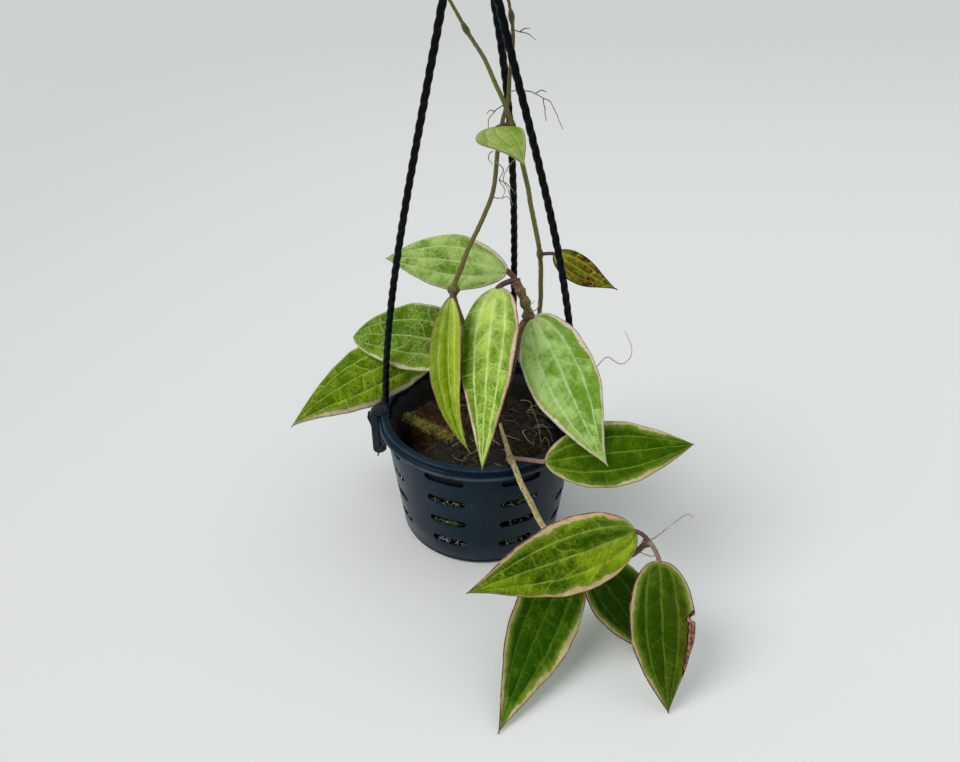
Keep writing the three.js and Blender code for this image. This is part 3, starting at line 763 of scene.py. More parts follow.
lugs = joined([lug(azimuth) for azimuth in AZIMUTHS.values()])
make_piece("pot_lugs", lugs, pot_plastic, ["pot"], sharp=50)

# %% [markdown]
# Each hanger strand is moulded to look like laid rope. Its section has three lobes, and the section
# turns as it travels, so the lobes run round the strand as a helix. It bows a little, its top runs
# into the hub, and its foot goes into a clip. The clip has a sloping head on the rim and a strap
# that is folded down outside the lug and up again inside. It is built of convex upright blocks.

# %% Hanger strands
STRAND_RADIUS = 2.02
STRAND_PITCH = 19
STRAND_RINGS = 560
STRAND_SIDES = 18
STRAND_FOOT = (56.5, 0, 82)
STRANDS = {
    "hanger_left": {"top": (-9, -3, 337), "bow": (-4.8, -5, 0), "skew": 0.8},
    "hanger_back": {"top": (-4, 4, 337), "bow": (8.6, 0, 0), "skew": -0.5},
    "hanger_right": {"top": (-2, -2, 337), "bow": (9, 0, 0), "skew": 0.85},
}
CLIP_EDGE = 0.35
CLIP_HEAD = [
    (60.8, 77.8), (66.1, 77.0), (66.3, 78.2), (65.0, 79.8), (62.4, 81.8), (59.8, 84.4), (57.8, 85.6),
    (56.0, 85.4), (55.2, 83.8), (55.4, 81.8), (56.8, 79.8),
]
CLIP_KNOT = [(55.0, 83.4), (57.5, 82.2), (59.6, 83.4), (59.8, 86.2), (58.2, 88.6), (56.0, 88.4), (54.8, 86.0)]
CLIP_FOLD = [
    (57.9, 54.6), (58.5, 52.8), (60.0, 51.6), (62.6, 50.8), (64.9, 51.8), (65.9, 54), (65.9, 57.2),
    (57.9, 57.2),
]
CLIP_BLOCKS = [
    (CLIP_HEAD, 3.8),
    (CLIP_KNOT, 2.5),
    (rounded_outline(61.7, 65.9, 53.2, 79, 0.6, 3), 4.5),
    (rounded_outline(57.9, 60.8, 53.2, 72.6, 0.6, 3), 4.3),
    (rounded_outline(59.6, 62.8, 54.2, 72, 0.2, 2), 3.4),
    (CLIP_FOLD, 4.3),
]
CLIP_TAIL = np.array([[62.6, 0, 51.6], [62.9, 0.2, 49.6], [63.5, 0.6, 47.8], [63.8, 0.8, 46.4]])
CLIP_TAIL_RADII = np.array([0.75, 0.6, 0.5, 0.35])


def strand_path(name):
    """From foot to top, pushed out along the bow by 4t(1-t)(1 + skew(1-2t))."""
    spec = STRANDS[name]
    foot = at_azimuth(np.array(STRAND_FOOT, float), AZIMUTHS[name])
    t = np.linspace(0, 1, STRAND_RINGS)[:, None]
    bulge = 4 * t * (1 - t) * (1 + spec["skew"] * (1 - 2 * t))
    return foot + (np.array(spec["top"]) - foot) * t + np.array(spec["bow"]) * bulge


def laid_rope(path):
    """Radius × (0.7 + 0.3 c), with c = |cos(1.5 (angle - turn))| to the power 0.7, and a painted highlight on
    the crests.

    Near the foot c is a plain 0.7, so that the strand is round there.
    """
    along = run_length(path)[:, None]
    lobes = np.abs(np.cos(1.5 * (turns(STRAND_SIDES) - along * 2 * math.pi / STRAND_PITCH)))
    lobes = 0.7 + (lobes**0.7 - 0.7) * soft_step(along, 5, 16)
    uneven = 1 + 0.012 * ripple(path, 7, 3)[:, None]
    rings = tube_rings(path, STRAND_RADIUS * uneven * (0.7 + 0.3 * lobes))
    # Painted highlight: glints painted pale along the crests of the lobes.
    painted_crest_highlight = soft_step(lobes, 0.86, 1) * soft_step(ripple(rings, 6, 4), -0.4, 0.6)
    return skin(rings), {"worn": on_rings(0.045 * painted_crest_highlight, rings)}


def block(outline, half_width, azimuth):
    """A convex upright outline of (outward, height), rounded off towards both flat sides."""
    outline = np.array(outline, float)
    middle = outline.mean(0)
    inset = middle + (outline - middle) * (1 - CLIP_EDGE / np.abs(outline - middle).max(0))
    near = half_width - CLIP_EDGE
    levels = [(half_width, inset), (near, outline), (-near, outline), (-half_width, inset)]
    rings = [np.column_stack([shape[:, 0], np.full(len(shape), side), shape[:, 1]]) for side, shape in levels]
    return skin(at_azimuth(np.stack(rings), azimuth))


def clip(azimuth):
    """All blocks of a clip, and the thin moulded tail that hangs under its fold."""
    tail = round_tube(at_azimuth(CLIP_TAIL, azimuth), CLIP_TAIL_RADII, 8)
    return joined([*(block(*spec, azimuth) for spec in CLIP_BLOCKS), skin(tail)])


for name, azimuth in AZIMUTHS.items():
    path = strand_path(name)
    rope, rope_numbers = laid_rope(path)
    make_piece(name + "_rope", rope, hanger_plastic, [name], rope_numbers)
    make_piece(name + "_clip", clip(azimuth), clip_plastic, [name], sharp=40)
    print(name, "length in millimetres:", round(run_length(path)[-1], 1))

# %% [markdown]
# The three strands end in one moulded hub with an open hook on it. The photograph stops below the
# hook, so it is the usual one for such a hanger: a round wire bent a little past the half circle.

# %% Hub and hook
HUB_PLACE = np.array([-5, 0, 0])
HUB_PROFILE = [
    (6.6, 335.5), (7.4, 335.7), (7.9, 336.2), (8, 337), (8, 340.4), (7.8, 341.3), (6.6, 342.6),
    (4.6, 344.2), (3.6, 345.2), (3.1, 347), (2.6, 349),
]
HOOK_STEM = [(0, 0, 343), (0, 0, 356)]
HOOK_WIRE = 2.5
HOOK_CENTRE = 376
HOOK_RADIUS = 11

bend = np.radians(np.arange(-60, 211, 30))
hook_bend = np.stack([HOOK_RADIUS * np.cos(bend), 0 * bend, HOOK_CENTRE + HOOK_RADIUS * np.sin(bend)], -1)
hook_path = through(np.concatenate([HOOK_STEM, hook_bend]), 10) + HUB_PLACE
hook_reach = HOOK_WIRE * (1 - 0.25 * soft_step(np.linspace(0, 1, len(hook_path)), 0.985, 1))
hook_parts = [skin(turned(HUB_PROFILE, 60) + HUB_PLACE), skin(round_tube(hook_path, hook_reach, 20))]
make_piece("hook", joined(hook_parts), hanger_plastic, ["hanger_hook"], sharp=50)

# %% [markdown]
# The growing mix, the husk, the moss and the roots are all fibrous. One node group gives them two
# tones and a fine upright grain. Each point keeps a tone, so that thousands of fibres in one mesh
# can still be lighter and darker than their neighbours.

# %% A finish for things made of fibres
FIBRE_RELIEF = 0.0006
fibre, fibre_in, fibre_out = new_group(
    "fibre",
    {"Dark": paint(30, 22, 14), "Light": paint(120, 88, 52)},
    ["Color", "Height"],
)
spot = object_place(fibre)
clouds = swing(fibre, grain(fibre, spot, 260, 5, 0.7), 0.9)
share_light = fade(fibre, add(fibre, kept(fibre, "tone"), clouds), 0.05, 0.95)
give(fibre, fibre_out, {
    "Color": mix(fibre, share_light, fibre_in.outputs["Dark"], fibre_in.outputs["Light"]),
    "Height": grain(fibre, stretched(fibre, spot, (1, 1, 0.12)), 900, 4, 0.6),
})


def fibre_finish(name, dark, light, roughness=0.85):
    """A dull fibrous finish between two screen colours; a point's tone says how light it is."""
    values = {"Dark": paint(*dark), "Light": paint(*light)}
    return group_finish(name, fibre, values, FIBRE_RELIEF, {"Roughness": roughness})


FIBRES = {
    "coir": ((4, 3, 2), (36, 27, 16)),
    "coir fibres": ((6, 5, 3), (124, 98, 54), 0.7),
    "husk": ((24, 18, 11), (122, 98, 54)),
    "rusty fibres": ((24, 14, 7), (176, 116, 52), 0.8),
    "bark strip": ((34, 18, 12), (124, 78, 54), 0.8),
    "moss": ((46, 42, 14), (212, 198, 100)),
    "green moss": ((40, 56, 8), (168, 196, 66)),
    "moss in the shade": ((22, 20, 6), (116, 106, 42)),
    "root threads": ((160, 148, 108), (255, 250, 222), 0.6),
    "aerial root": ((88, 48, 34), (206, 194, 154), 0.6),
}
fibres = {name: fibre_finish(name, *spec) for name, spec in FIBRES.items()}
print("fibre finishes:", list(fibres))

# %% [markdown]
# The growing mix is dark, fibrous coir heaped up to the rim. The bed is a profile carried round the
# axis and then crumpled with smooth noise, which needs far fewer faces than a heap of crumbs. It
# dips on the left, where the block of husk stands.

# %% The bed of coir
BED_SIDES = 150
BED_BOTTOM = [(41, 2.6), (42, 2.8), (43.5, 7)]
BED_WALL = [(20, -6), (35, -6), (47, -6), (53, -6.3)]
BED_TOP = [
    (48, 56), (45.5, 58.5), (42, 60.4), (38, 61.8), (33, 63), (28, 63.8), (23, 64.4), (18, 64.8),
    (13, 65.1), (8, 65.3), (3, 65.4),
]
BED_RIPPLES = [(2.1, 19, 5), (1.2, 7, 6), (0.6, 3, 7)]
HOLLOW_DEPTH = 13
HOLLOW_X, HOLLOW_LENGTH = -40, 17
HOLLOW_Y, HOLLOW_WIDTH = 8, 30


def hollow(x, y):
    """How deep the heap dips for the husk: depth × exp(-(x / length)² - (y / width)²) from its middle."""
    return HOLLOW_DEPTH * hump(x - HOLLOW_X, HOLLOW_LENGTH) * hump(y - HOLLOW_Y, HOLLOW_WIDTH)


bed_profile = [*BED_BOTTOM, *(on_wall(*row) for row in BED_WALL), *BED_TOP]
bed_rings = turned(bed_profile, BED_SIDES)
heap = sum(depth * ripple(bed_rings, size, seed) for depth, size, seed in BED_RIPPLES)
heap = soft_step(bed_rings[..., 2], 50, 58) * (heap - hollow(bed_rings[..., 0], bed_rings[..., 1]))
bed = skin(bed_rings + heap[..., None] * UP)
bed_reach = np.hypot(bed[0][:, 0], bed[0][:, 1])
# Painted shade: the coir grows darker towards the wall, under the rim, on top of its random tone.
bed_tone_and_shade = 0.35 + 0.3 * ripple(bed[0], 5, 8) - 0.7 * soft_step(bed_reach, 34, 45)
make_piece("coir_bed", bed, fibres["coir"], ["coir_mix"], {"tone": bed_tone_and_shade})

# %% [markdown]
# A thin, dark lining of coir inside the wall above the bed is painted shade: it keeps the upper
# slots dark, as the shade inside the pot would. It has a ragged top edge: a closed section carried
# nearly all the way round, with its top moved by noise.

# %% Painted shade: a dark lining inside the wall
CRUST_ARC = (2, 330)
CRUST_SECTION = [
    (50, -2.1), (58, -2.0), (66, -2.0), (72.4, -2.046), (72.8, -2.992), (66, -4.2), (58, -6), (50, -8),
]
crust_section = np.array([on_wall(*row) for row in CRUST_SECTION])
crust_turn = np.radians(np.arange(*CRUST_ARC))[:, None]
crust_rings = around(crust_section[:, 0], crust_turn, crust_section[:, 1])
ragged = soft_step(crust_rings[..., 2], 62, 72) * (1.6 * ripple(crust_rings, 14, 9) - 0.8)
crust = skin((crust_rings + ragged[..., None] * UP)[:, ::-1])
# Painted shade: the lining takes the darkest tones of the coir.
crust_shade_tone = -0.2 + 0.3 * ripple(crust[0], 4, 10)
make_piece("coir_shade_lining", crust, fibres["coir"], numbers={"tone": crust_shade_tone})

# %% [markdown]
# What makes the bed read as coir is loose fibre: thousands of thin curved hairs, all of one kind in
# one mesh. Each kind draws its places from a function of its own: on top of the heap, in a few mossy
# clumps, or just behind the slots, where roots and green moss have grown towards the light.

# %% Loose fibres on the bed and in the slots
BED_HEIGHTS = ([0, 18, 33, 42, 48], [65.4, 64.8, 63, 60.4, 56.5])
MOSS_CLUMPS = [
    (20, -24, 62.2), (27, -12, 63.4), (33, -20, 61), (17, -36, 60), (8, -40, 59.6), (30, 4, 63.6),
]
GREEN_SLOTS = [(-109, 33.0), (-63, 50), (26, 33.5), (118, 16.8), (204, 50)]


def scattered(count, seed, places, length, radius, droop, curl, steps=5, steep=0.22):
    """Curved fibres about random middles: middle + s heading + curl s² across - droop s² upright.

    s runs from -1 to 1, the heading is a random and nearly flat direction, and every length is drawn
    anew.
    """
    chance = np.random.default_rng(seed)
    middles = places(chance, count)
    turn = chance.uniform(0, 2 * math.pi, count)
    tilt = chance.normal(0, steep, count)
    heading = around(1, turn, tilt)
    across = np.stack([-np.sin(turn), np.cos(turn), np.zeros(count)], -1)
    half = chance.uniform(0.4, 1, count)[:, None, None] * length / 2
    s = np.linspace(-1, 1, steps)[None, :, None]
    bend = chance.normal(0, curl, count)[:, None, None]
    paths = middles[:, None] + half * (s * heading[:, None] + bend * s**2 * across[:, None])
    paths = paths - UP * droop * half * s**2
    radii = chance.uniform(0.5, 1, (count, 1)) * radius * np.linspace(1, 0.5, steps)
    return hairs(paths, radii, chance.uniform(0, 1, count) ** 2)


def on_bed(chance, count):
    """Random places on top of the heap."""
    reach = 42 * np.sqrt(chance.uniform(0, 1, count))
    turn = chance.uniform(0, 2 * math.pi, count)
    places = around(reach, turn, np.interp(reach, *BED_HEIGHTS))
    height = chance.uniform(-0.6, 2.4, count) - hollow(places[:, 0], places[:, 1])
    return places + height[:, None] * UP


def on_green(chance, count):
    """Random places in a few mossy clumps on the heap, to the right of the stems."""
    centre = np.array(MOSS_CLUMPS)[chance.integers(0, len(MOSS_CLUMPS), count)]
    return centre + chance.normal(0, 2.6, (count, 3)) * [1, 1, 0.3] + [0, 0, 1.2]


def in_slots(chance, count):
    """Random places just behind the wall, in the three lower rows of slots and within their spread."""
    column = chance.integers(0, SLOT_COLUMNS, count)
    azimuth = SLOT_FIRST_AZIMUTH + 360 * column / SLOT_COLUMNS + chance.uniform(-10.5, 10.5, count)
    z = np.array(SLOT_HEIGHTS)[chance.integers(0, 3, count)] + chance.normal(-0.4, 0.9, count)
    return around(wall_radius(z) - chance.uniform(0.2, 1.5, count), np.radians(azimuth), z)


def in_green_slots(chance, count):
    """Random places in the few slots that moss has grown into."""
    azimuth, z = np.array(GREEN_SLOTS)[chance.integers(0, len(GREEN_SLOTS), count)].T
    azimuth = azimuth + chance.normal(0, 3.2, count)
    z = z + chance.normal(-0.4, 0.8, count)
    return around(wall_radius(z) - chance.uniform(0.3, 1.8, count), np.radians(azimuth), z)


def inside_wall(points):
    """Points pushed in towards the axis until none stands out of the wall's outer face."""
    reach = np.hypot(points[:, 0], points[:, 1])
    share = np.minimum(1, (wall_radius(points[:, 2]) - 0.1) / reach)
    return points * np.column_stack([share, share, np.ones(len(points))])


def add_hairs(name, made, finish):
    """A piece of many fibres, from what the function hairs gives."""
    points, faces, tone = made
    make_piece(name, (points, faces), fibres[finish], numbers={"tone": tone})


print("mossy clumps:", len(MOSS_CLUMPS), "mossy slots:", len(GREEN_SLOTS))

# %% Scatter the fibres
for name, finish, spec in [
    ("coir_fibres", "coir fibres", (3400, 11, on_bed, 13, 0.17, 0.45, 0.4)),
    ("coir_threads", "root threads", (90, 12, on_bed, 20, 0.17, 0.25, 0.8, 9)),
    ("coir_moss", "moss in the shade", (700, 15, on_green, 2.4, 0.2, 0.3, 0.4)),
]:
    add_hairs(name, scattered(*spec), finish)
for name, finish, spec in [
    ("slot_roots", "root threads", (330, 13, in_slots, 5.0, 0.17, 0.3, 0.6, 7, 0.9)),
    ("slot_moss", "green moss", (420, 14, in_green_slots, 2.4, 0.15, 0.3, 0.5)),
]:
    points, faces, tone = scattered(*spec)
    add_hairs(name, (inside_wall(points), faces, tone), finish)

# %% [markdown]
# The block of coconut husk is a stack of rounded outlines that shrink towards its top, so its edges
# are soft. Noise that is drawn out upright pushes its sides in and out like matted fibre.

# %% The husk block
HUSK_LENGTH = 40
HUSK_DEPTH = 25
HUSK_CORNER = 3
HUSK_PLACE = np.array([-24.4, 7.4, 0])
HUSK_TURN = -38
HUSK_TOP = 66.5
HUSK_LEVELS = [
    (30, 1), (31, 0.3), (34, 0), (38, 0), (42, 0), (46, 0), (50, 0), (53, 0), (56, 0), (59, 0), (61.5, 0),
    (63.5, 0.1), (65, 0.4), (66, 1), (HUSK_TOP, 2.2), (HUSK_TOP, 5), (HUSK_TOP, 8), (HUSK_TOP, 11.8),
]


def husk_outline(level, inset):
    """The block's outline at a height, drawn in all round by an inset."""
    half_length, half_depth = HUSK_LENGTH / 2 - inset, HUSK_DEPTH / 2 - inset
    corner = max(HUSK_CORNER - inset, 0.3)
    return lifted(rounded_outline(-half_length, half_length, -half_depth, half_depth, corner, 30), level)


def in_pot(points):
    """Points of the block's own frame, turned and set down where it stands in the pot."""
    return at_azimuth(points, HUSK_TURN) + HUSK_PLACE


husk_rings = in_pot(np.stack([husk_outline(*row) for row in HUSK_LEVELS]))
husk_out = unit((husk_rings - husk_rings.mean(1, keepdims=True)) * [1, 1, 0] + TINY)
streaks = ripple(husk_rings * [1, 1, 0.12], 2.6, 21) + 0.6 * ripple(husk_rings * [1, 1, 0.2], 1.2, 22)
lumps = ripple(husk_rings, 8, 23)
husk_rings = husk_rings + husk_out * (0.5 * streaks + 0.4 * lumps - 0.5)[..., None]
sunk = soft_step(husk_rings[..., 2], 60, 66) * (0.9 * lumps - 0.7)
husk = skin(husk_rings + sunk[..., None] * UP)
husk_tone = 0.3 + 0.25 * ripple(husk[0] * [1, 1, 0.15], 3, 24)
make_piece("husk_chunk", husk, fibres["husk"], ["husk_block"], {"tone": husk_tone})

# %% [markdown]
# Rusty fibres lie loose on the husk, upright ones cling to its near face and to the bark strip at its
# right end, and moss grows along its near top edge. All are hairs again, with other places and bends.

# %% Fibres and moss on the husk
NEAR_FACE = -HUSK_DEPTH / 2 - 0.2
TUFT_TAPER = np.array([1, 0.9, 0.7, 0.3])


def on_husk(chance, count):
    """Random places on the husk's top, most of them towards its right end."""
    x = (1 - 1.9 * chance.uniform(0, 1, count) ** 1.8) * (HUSK_LENGTH / 2 - 1)
    y = chance.uniform(-HUSK_DEPTH / 2 + 1, HUSK_DEPTH / 2 - 1, count)
    height = HUSK_TOP - 0.8 + chance.uniform(0, 2, count)
    return in_pot(np.stack([x, y, height], -1))


def moss_tufts(count, seed):
    """Short blades: root + length (s lean + s² side), thickest over the husk's near top edge."""
    chance = np.random.default_rng(seed)
    x = chance.uniform(-HUSK_LENGTH / 2, HUSK_LENGTH / 2 - 1, count)
    y = -HUSK_DEPTH / 2 + 1.3 + chance.normal(0, 1.2, count)
    roots = in_pot(np.stack([x, y, HUSK_TOP - 0.9 + chance.uniform(-1.5, 1.3, count)], -1))
    lean = unit(chance.normal(0, 0.7, (count, 3)) + [0.0, -0.3, 0.5])
    s = np.linspace(0, 1, len(TUFT_TAPER))[None, :, None]
    length = chance.uniform(0.7, 2.3, count)[:, None, None]
    side = chance.normal(0, 0.45, (count, 1, 3))
    paths = roots[:, None] + length * (s * lean[:, None] + s**2 * side)
    radii = chance.uniform(0.14, 0.28, (count, 1)) * TUFT_TAPER
    tones = chance.uniform(0.15, 1, count) * (0.9 + 0.3 * ripple(roots, 9, seed))
    return hairs(paths, radii, tones)


def upright_fibres(count, seed, x_range, y_middle, z_range, length_range):
    """Upright fibres that cling to the husk: middle + length (s - 1/2) heading + bow 4s(1 - s)."""
    chance = np.random.default_rng(seed)
    x = chance.uniform(*x_range, count)
    y = y_middle + chance.normal(0, 0.5, count)
    middles = in_pot(np.stack([x, y, chance.uniform(*z_range, count)], -1))
    s = np.linspace(0, 1, 5)[None, :, None]
    heading = unit(chance.normal(0, 0.12, (count, 3)) + UP)
    bow = chance.normal(0, 0.08, (count, 1, 3))
    length = chance.uniform(*length_range, count)[:, None, None]
    paths = middles[:, None] + length * (s - 0.5) * heading[:, None] + length * bow * s * (1 - s) * 4
    radii = chance.uniform(0.1, 0.24, (count, 1)) * np.ones(5)
    return hairs(paths, radii, chance.uniform(0, 0.9, count))


for name, finish, made in [
    ("husk_fibres", "rusty fibres", scattered(1500, 25, on_husk, 10, 0.19, 0.3, 0.35)),
    ("husk_front_fibres", "husk", upright_fibres(520, 26, (-19, 19), NEAR_FACE, (49, 62), (4, 13))),
    ("husk_bark_strip", "bark strip", upright_fibres(420, 28, (15, 23), 1, (55, 66), (6, 15))),
    ("husk_moss", "moss", moss_tufts(4200, 27)),
]:
    add_hairs(name, made, finish)

# %% [markdown]
# Real vines are never quite round: fine ridges run along them, and the bark is flecked. That pattern
# follows the stem, so each point keeps how far along and how far round it lies, and the finish reads
# that. Where a point's dusk is high, as at a node, the bark is darker and more purple; on the main
# stem's foot the dusk is painted shade.

# %% Bark and petiole finishes
BARK_RELIEF = 0.0003
bark, bark_in, bark_out = new_group(
    "bark",
    {
        "Dark": paint(60, 48, 36),
        "Light": paint(150, 138, 110),
        "Young": paint(96, 104, 50),
        "Greenness": 0.0,
        "Seed": 0.0,
    },
    ["Color", "Height"],
)
grown = kept(bark, "grown", "Vector")
drawn_out = stretched(bark, grown, (0.5, 5, 1))
bark_spot = place(bark, "VectorMath", {0: drawn_out, 1: bark_in.outputs["Seed"]}, operation="ADD").outputs[0]
ridges = grain(bark, bark_spot, 1.3, 4, 0.65)
flecks = fade(bark, grain(bark, grown, 2.6, 3, 0.6), 0.56, 0.7)
patches = fade(bark, grain(bark, bark_spot, 0.16, 3, 0.6), 0.3, 0.65)
bark_light = add(bark, fade(bark, ridges, 0.42, 0.62, 0, 0.8), times(bark, flecks, 0.35))
bark_colour = mix(bark, bark_light, bark_in.outputs["Dark"], bark_in.outputs["Light"])
young = times(bark, patches, bark_in.outputs["Greenness"])
bark_colour = mix(bark, young, bark_colour, bark_in.outputs["Young"])
give(bark, bark_out, {
    # The dusk darkens the bark towards purple; on the main stem's foot it is painted shade.
    "Color": mix(bark, kept(bark, "dusk"), bark_colour, paint(70, 44, 38)),
    "Height": add(bark, ridges, times(bark, flecks, 0.4)),
})


def bark_finish(name, dark, light, young, greenness, seed):
    """Bark between a dark and a light screen colour, with some of the green of young growth."""
    values = {"Dark": paint(*dark), "Light": paint(*light), "Young": paint(*young)}
    values |= {"Greenness": greenness, "Seed": seed}
    return group_finish(name, bark, values, BARK_RELIEF, {"Roughness": 0.6})


print("nodes in the bark group:", len(bark.nodes))

# %% [markdown]
# A stem is a tube along nearly the same points as its CAD stem. At a node, where leaves grow or grew,
# it swells by the millimetres that stand after the number of the point. A knobbly stem is rougher
# than the others, a slim foot and a dusk say how its lower end and its tip differ, and a shaded foot
# is painted shade on a lower end that goes down into the pot.

# %% Stems
STEMS = {
    "main_stem": {
        "slot": "wood", "radius": 2.45, "end": 2.1,
        "points": [
            (14.5, 19, 50), (14.5, 17, 66), (17, 12, 97), (20.3, 5, 116.5), (23.2, -1, 134.5),
            (26, -3, 143), (24, -3, 151), (21.5, -2, 157), (18.5, -1, 163),
        ],
        "nodes": {5: 1.3, 6: 0.7, 7: 0.6, 8: 1.0}, "knobbly": 0.28, "dark foot": 0.8,
        "look": ((78, 54, 30), (214, 182, 112), (140, 120, 58), 0.3, 1.0),
    },
    "right_vine": {
        "slot": "olive", "radius": 1.35, "end": 0.45,
        "points": [
            (37, 31, 50), (36.5, 28.5, 66), (35, 22, 106), (34, 18, 134.5), (34, 15, 150), (32, 10, 174),
            (27, 6, 197.5), (24, 3, 212), (21, 0, 224.5), (15, -3, 246), (8.5, -3, 261), (1, 0, 275.5),
            (-7, 3, 287), (-14.5, 5, 299), (-18.5, 6, 305.5), (-21.5, 6.5, 313),
        ],
        "nodes": {5: 0.6, 9: 0.4, 12: 0.6},
        "look": ((72, 62, 26), (158, 146, 84), (120, 122, 40), 0.85, 2.0),
    },
    "left_vine": {
        "slot": "brown", "radius": 1.3, "end": 0.45,
        "points": [
            (-7.5, 2, 50), (-7.5, 1, 66), (-4.5, -9, 93), (-2, -12, 113.5), (-2.5, -13, 128.5),
            (-10, -15, 146.5), (-14.5, -13, 163.5), (-10.5, -12, 175.5), (-5.5, -10, 187.5),
            (1.5, -6, 202), (6, -3, 214), (8, 1, 230.5), (10.5, 4, 246.5), (13, 4, 256),
            (13.5, 3, 266.5), (14.5, 1, 283), (13.5, 1, 292.5), (12, 1, 299.5), (10, 1, 309), (8.5, 1, 318.5),
        ],
        "nodes": {4: 0.9, 6: 2.2, 16: 0.7},
        "look": ((66, 50, 28), (150, 132, 78), (112, 106, 40), 0.75, 3.0),
    },
    "trailing_stem": {
        "slot": "tan", "radius": 1.6, "end": 1.5,
        "points": [
            (11, 3, 52), (11.5, 1, 66), (12.5, -21.5, 76), (14, -38.5, 81.5), (16, -52.5, 81.7),
            (18, -58.5, 80.6), (21, -65, 76), (27, -71, 65.5), (33, -78, 56.5), (41.5, -85, 48),
            (54.5, -91, 44), (66.5, -95, 48), (77, -98.5, 57.5), (83, -100, 67),
        ],
        "nodes": {4: 0.8, 10: 0.8, 13: 1.1}, "dusk": 0.8, "slim foot": 0.4,
        "look": ((134, 112, 54), (255, 246, 190), (182, 168, 84), 0.3, 4.0),
    },
}
print("stems:", list(STEMS))

# %% Tubes for the stems
STEM_STEPS = 14
STEM_SIDES = 20
STEM_WANDER = 0.16
NODE_LENGTH = 2.3
GROOVE_PLACE, GROOVE_WIDTH, GROOVE_DEPTH = 3.4, 0.5, 0.16
PLAIN_ROUGHNESS = 0.07


def grown_numbers(along, angle):
    """How far along a tube each point lies, and the cosine and sine of how far round."""
    return np.stack([along + 0 * angle, np.cos(angle) + 0 * along, np.sin(angle) + 0 * along], -1)


def stem_shape(spec, seed):
    """A tapering tube with a hump and two grooves at each node, and ridges that run along it.

    The radius falls as the cube of the share of the length, and (1 + 0.022 wave) makes the ridges.
    """
    path = through(spec["points"], STEM_STEPS)
    along = run_length(path)
    path = wandering(path, STEM_WANDER, 17, seed)
    share = np.linspace(0, 1, len(path))
    reach = spec["radius"] + (spec["end"] - spec["radius"]) * share**3
    reach = reach * (1 - spec.get("slim foot", 0) * (1 - soft_step(share, 0.1, 0.34)))
    dusk = spec.get("dusk", 0) * soft_step(share, 0.72, 0.86)
    # Painted shade: a shaded foot darkens the lower end of the stem, down in the pot.
    dusk = dusk + spec.get("dark foot", 0) * (1 - soft_step(share, 0.2, 0.5))
    for node, swell in spec["nodes"].items():
        away = along - along[node * STEM_STEPS]
        reach = reach + swell * hump(away, NODE_LENGTH)
        reach = reach - GROOVE_DEPTH * hump(np.abs(away) - GROOVE_PLACE, GROOVE_WIDTH)
        dusk = dusk + 0.5 * hump(away, 2.2)
    angle, along = turns(STEM_SIDES), along[:, None]
    wave = np.sin(angle * 5 + 0.05 * along + seed) + 0.6 * np.sin(angle * 8 - 0.03 * along)
    rings = tube_rings(path, reach[:, None] * (1 + 0.022 * wave))
    rings = roughened(rings, path, spec.get("knobbly", PLAIN_ROUGHNESS), 2.4, seed + 9)
    numbers = {"grown": grown_numbers(along, angle), "dusk": np.clip(dusk, 0, 0.9)[:, None] + 0 * wave}
    return skin(rings), {key: on_rings(values, rings) for key, values in numbers.items()}


for seed, (name, spec) in enumerate(STEMS.items(), 31):
    stem, stem_numbers = stem_shape(spec, seed)
    finish = bark_finish(name + " bark", *spec["look"])
    make_piece(name + "_wood", stem, finish, [name], stem_numbers)

# %% [markdown]
# A hoya leaf is thick and waxy. Three pale veins fan out from the petiole and run to the tip, and
# finer veins join them and box in panels of lighter and darker green. The margin has a ragged band
# of cream and pink, and a fine maroon line runs round the very edge. One node group draws all that,
# and its inputs hold whatever one leaf may have more or less of than another.

# %% The leaf blade group
hoya, hoya_in, hoya_out = new_group(
    "hoya blade",
    {
        "Deep": paint(62, 96, 10),
        "Milky": paint(140, 170, 96),
        "Vein": paint(168, 190, 104),
        "Rim": paint(128, 150, 50),
        "Cream": paint(206, 192, 150),
        "Pink": paint(188, 132, 116),
        "Blush": paint(92, 56, 24),
        "Edge": paint(62, 24, 26),
        "Pinkness": 0.4,
        "Vein width": 0.8,
        "Vein share": 0.8,
        "Fan": 0.3,
        "Cross share": 0.45,
        "Cross veins": 0.12,
        "Net share": 0.15,
        "Panels": 0.5,
        "Mottle": 1.2,
        "Edge line": 0.6,
        "Edge width": 0.6,
        "Seed": 0.0,
    },
    ["Color", "Height", "Roughness"],
)
asked = hoya_in.outputs
print("inputs of the leaf group:", len(asked) - 1)

# %% [markdown]
# A picture could not follow thirteen bent blades without seams, so each mesh keeps its own
# measurements at its points: the millimetres across, along and in from the margin, the same as
# shares, the distance from each main vein, how milky a point is together with the highlights and
# shade painted on it, and how creamy, blushed or scarred it is.

# %% What a blade's mesh says at each point
across, along, edge = place(hoya, "SeparateXYZ", {0: kept(hoya, "blade", "Vector")}).outputs
_, share_along, face = place(hoya, "SeparateXYZ", {0: kept(hoya, "share", "Vector")}).outputs
left, middle, right = place(hoya, "SeparateXYZ", {0: kept(hoya, "lanes", "Vector")}).outputs
milk, cream_width = kept(hoya, "milk"), kept(hoya, "cream")
blush, scar = kept(hoya, "blush"), kept(hoya, "scar")
far = times(hoya, asked["Seed"], 53.7)
spot = place(hoya, "CombineXYZ", {0: across, 1: add(hoya, along, far), 2: far}).outputs[0]
print("nodes that read the mesh:", len(hoya.nodes))

# %% [markdown]
# The main veins lie where the distance from one is small; they wobble a little and thin out towards
# the tip. Cross veins lie where a count of steps along the blade, slanted and bent by noise, is a
# whole number, and each gets a strength of its own. The fine net is the borders between cells.

# %% Veins


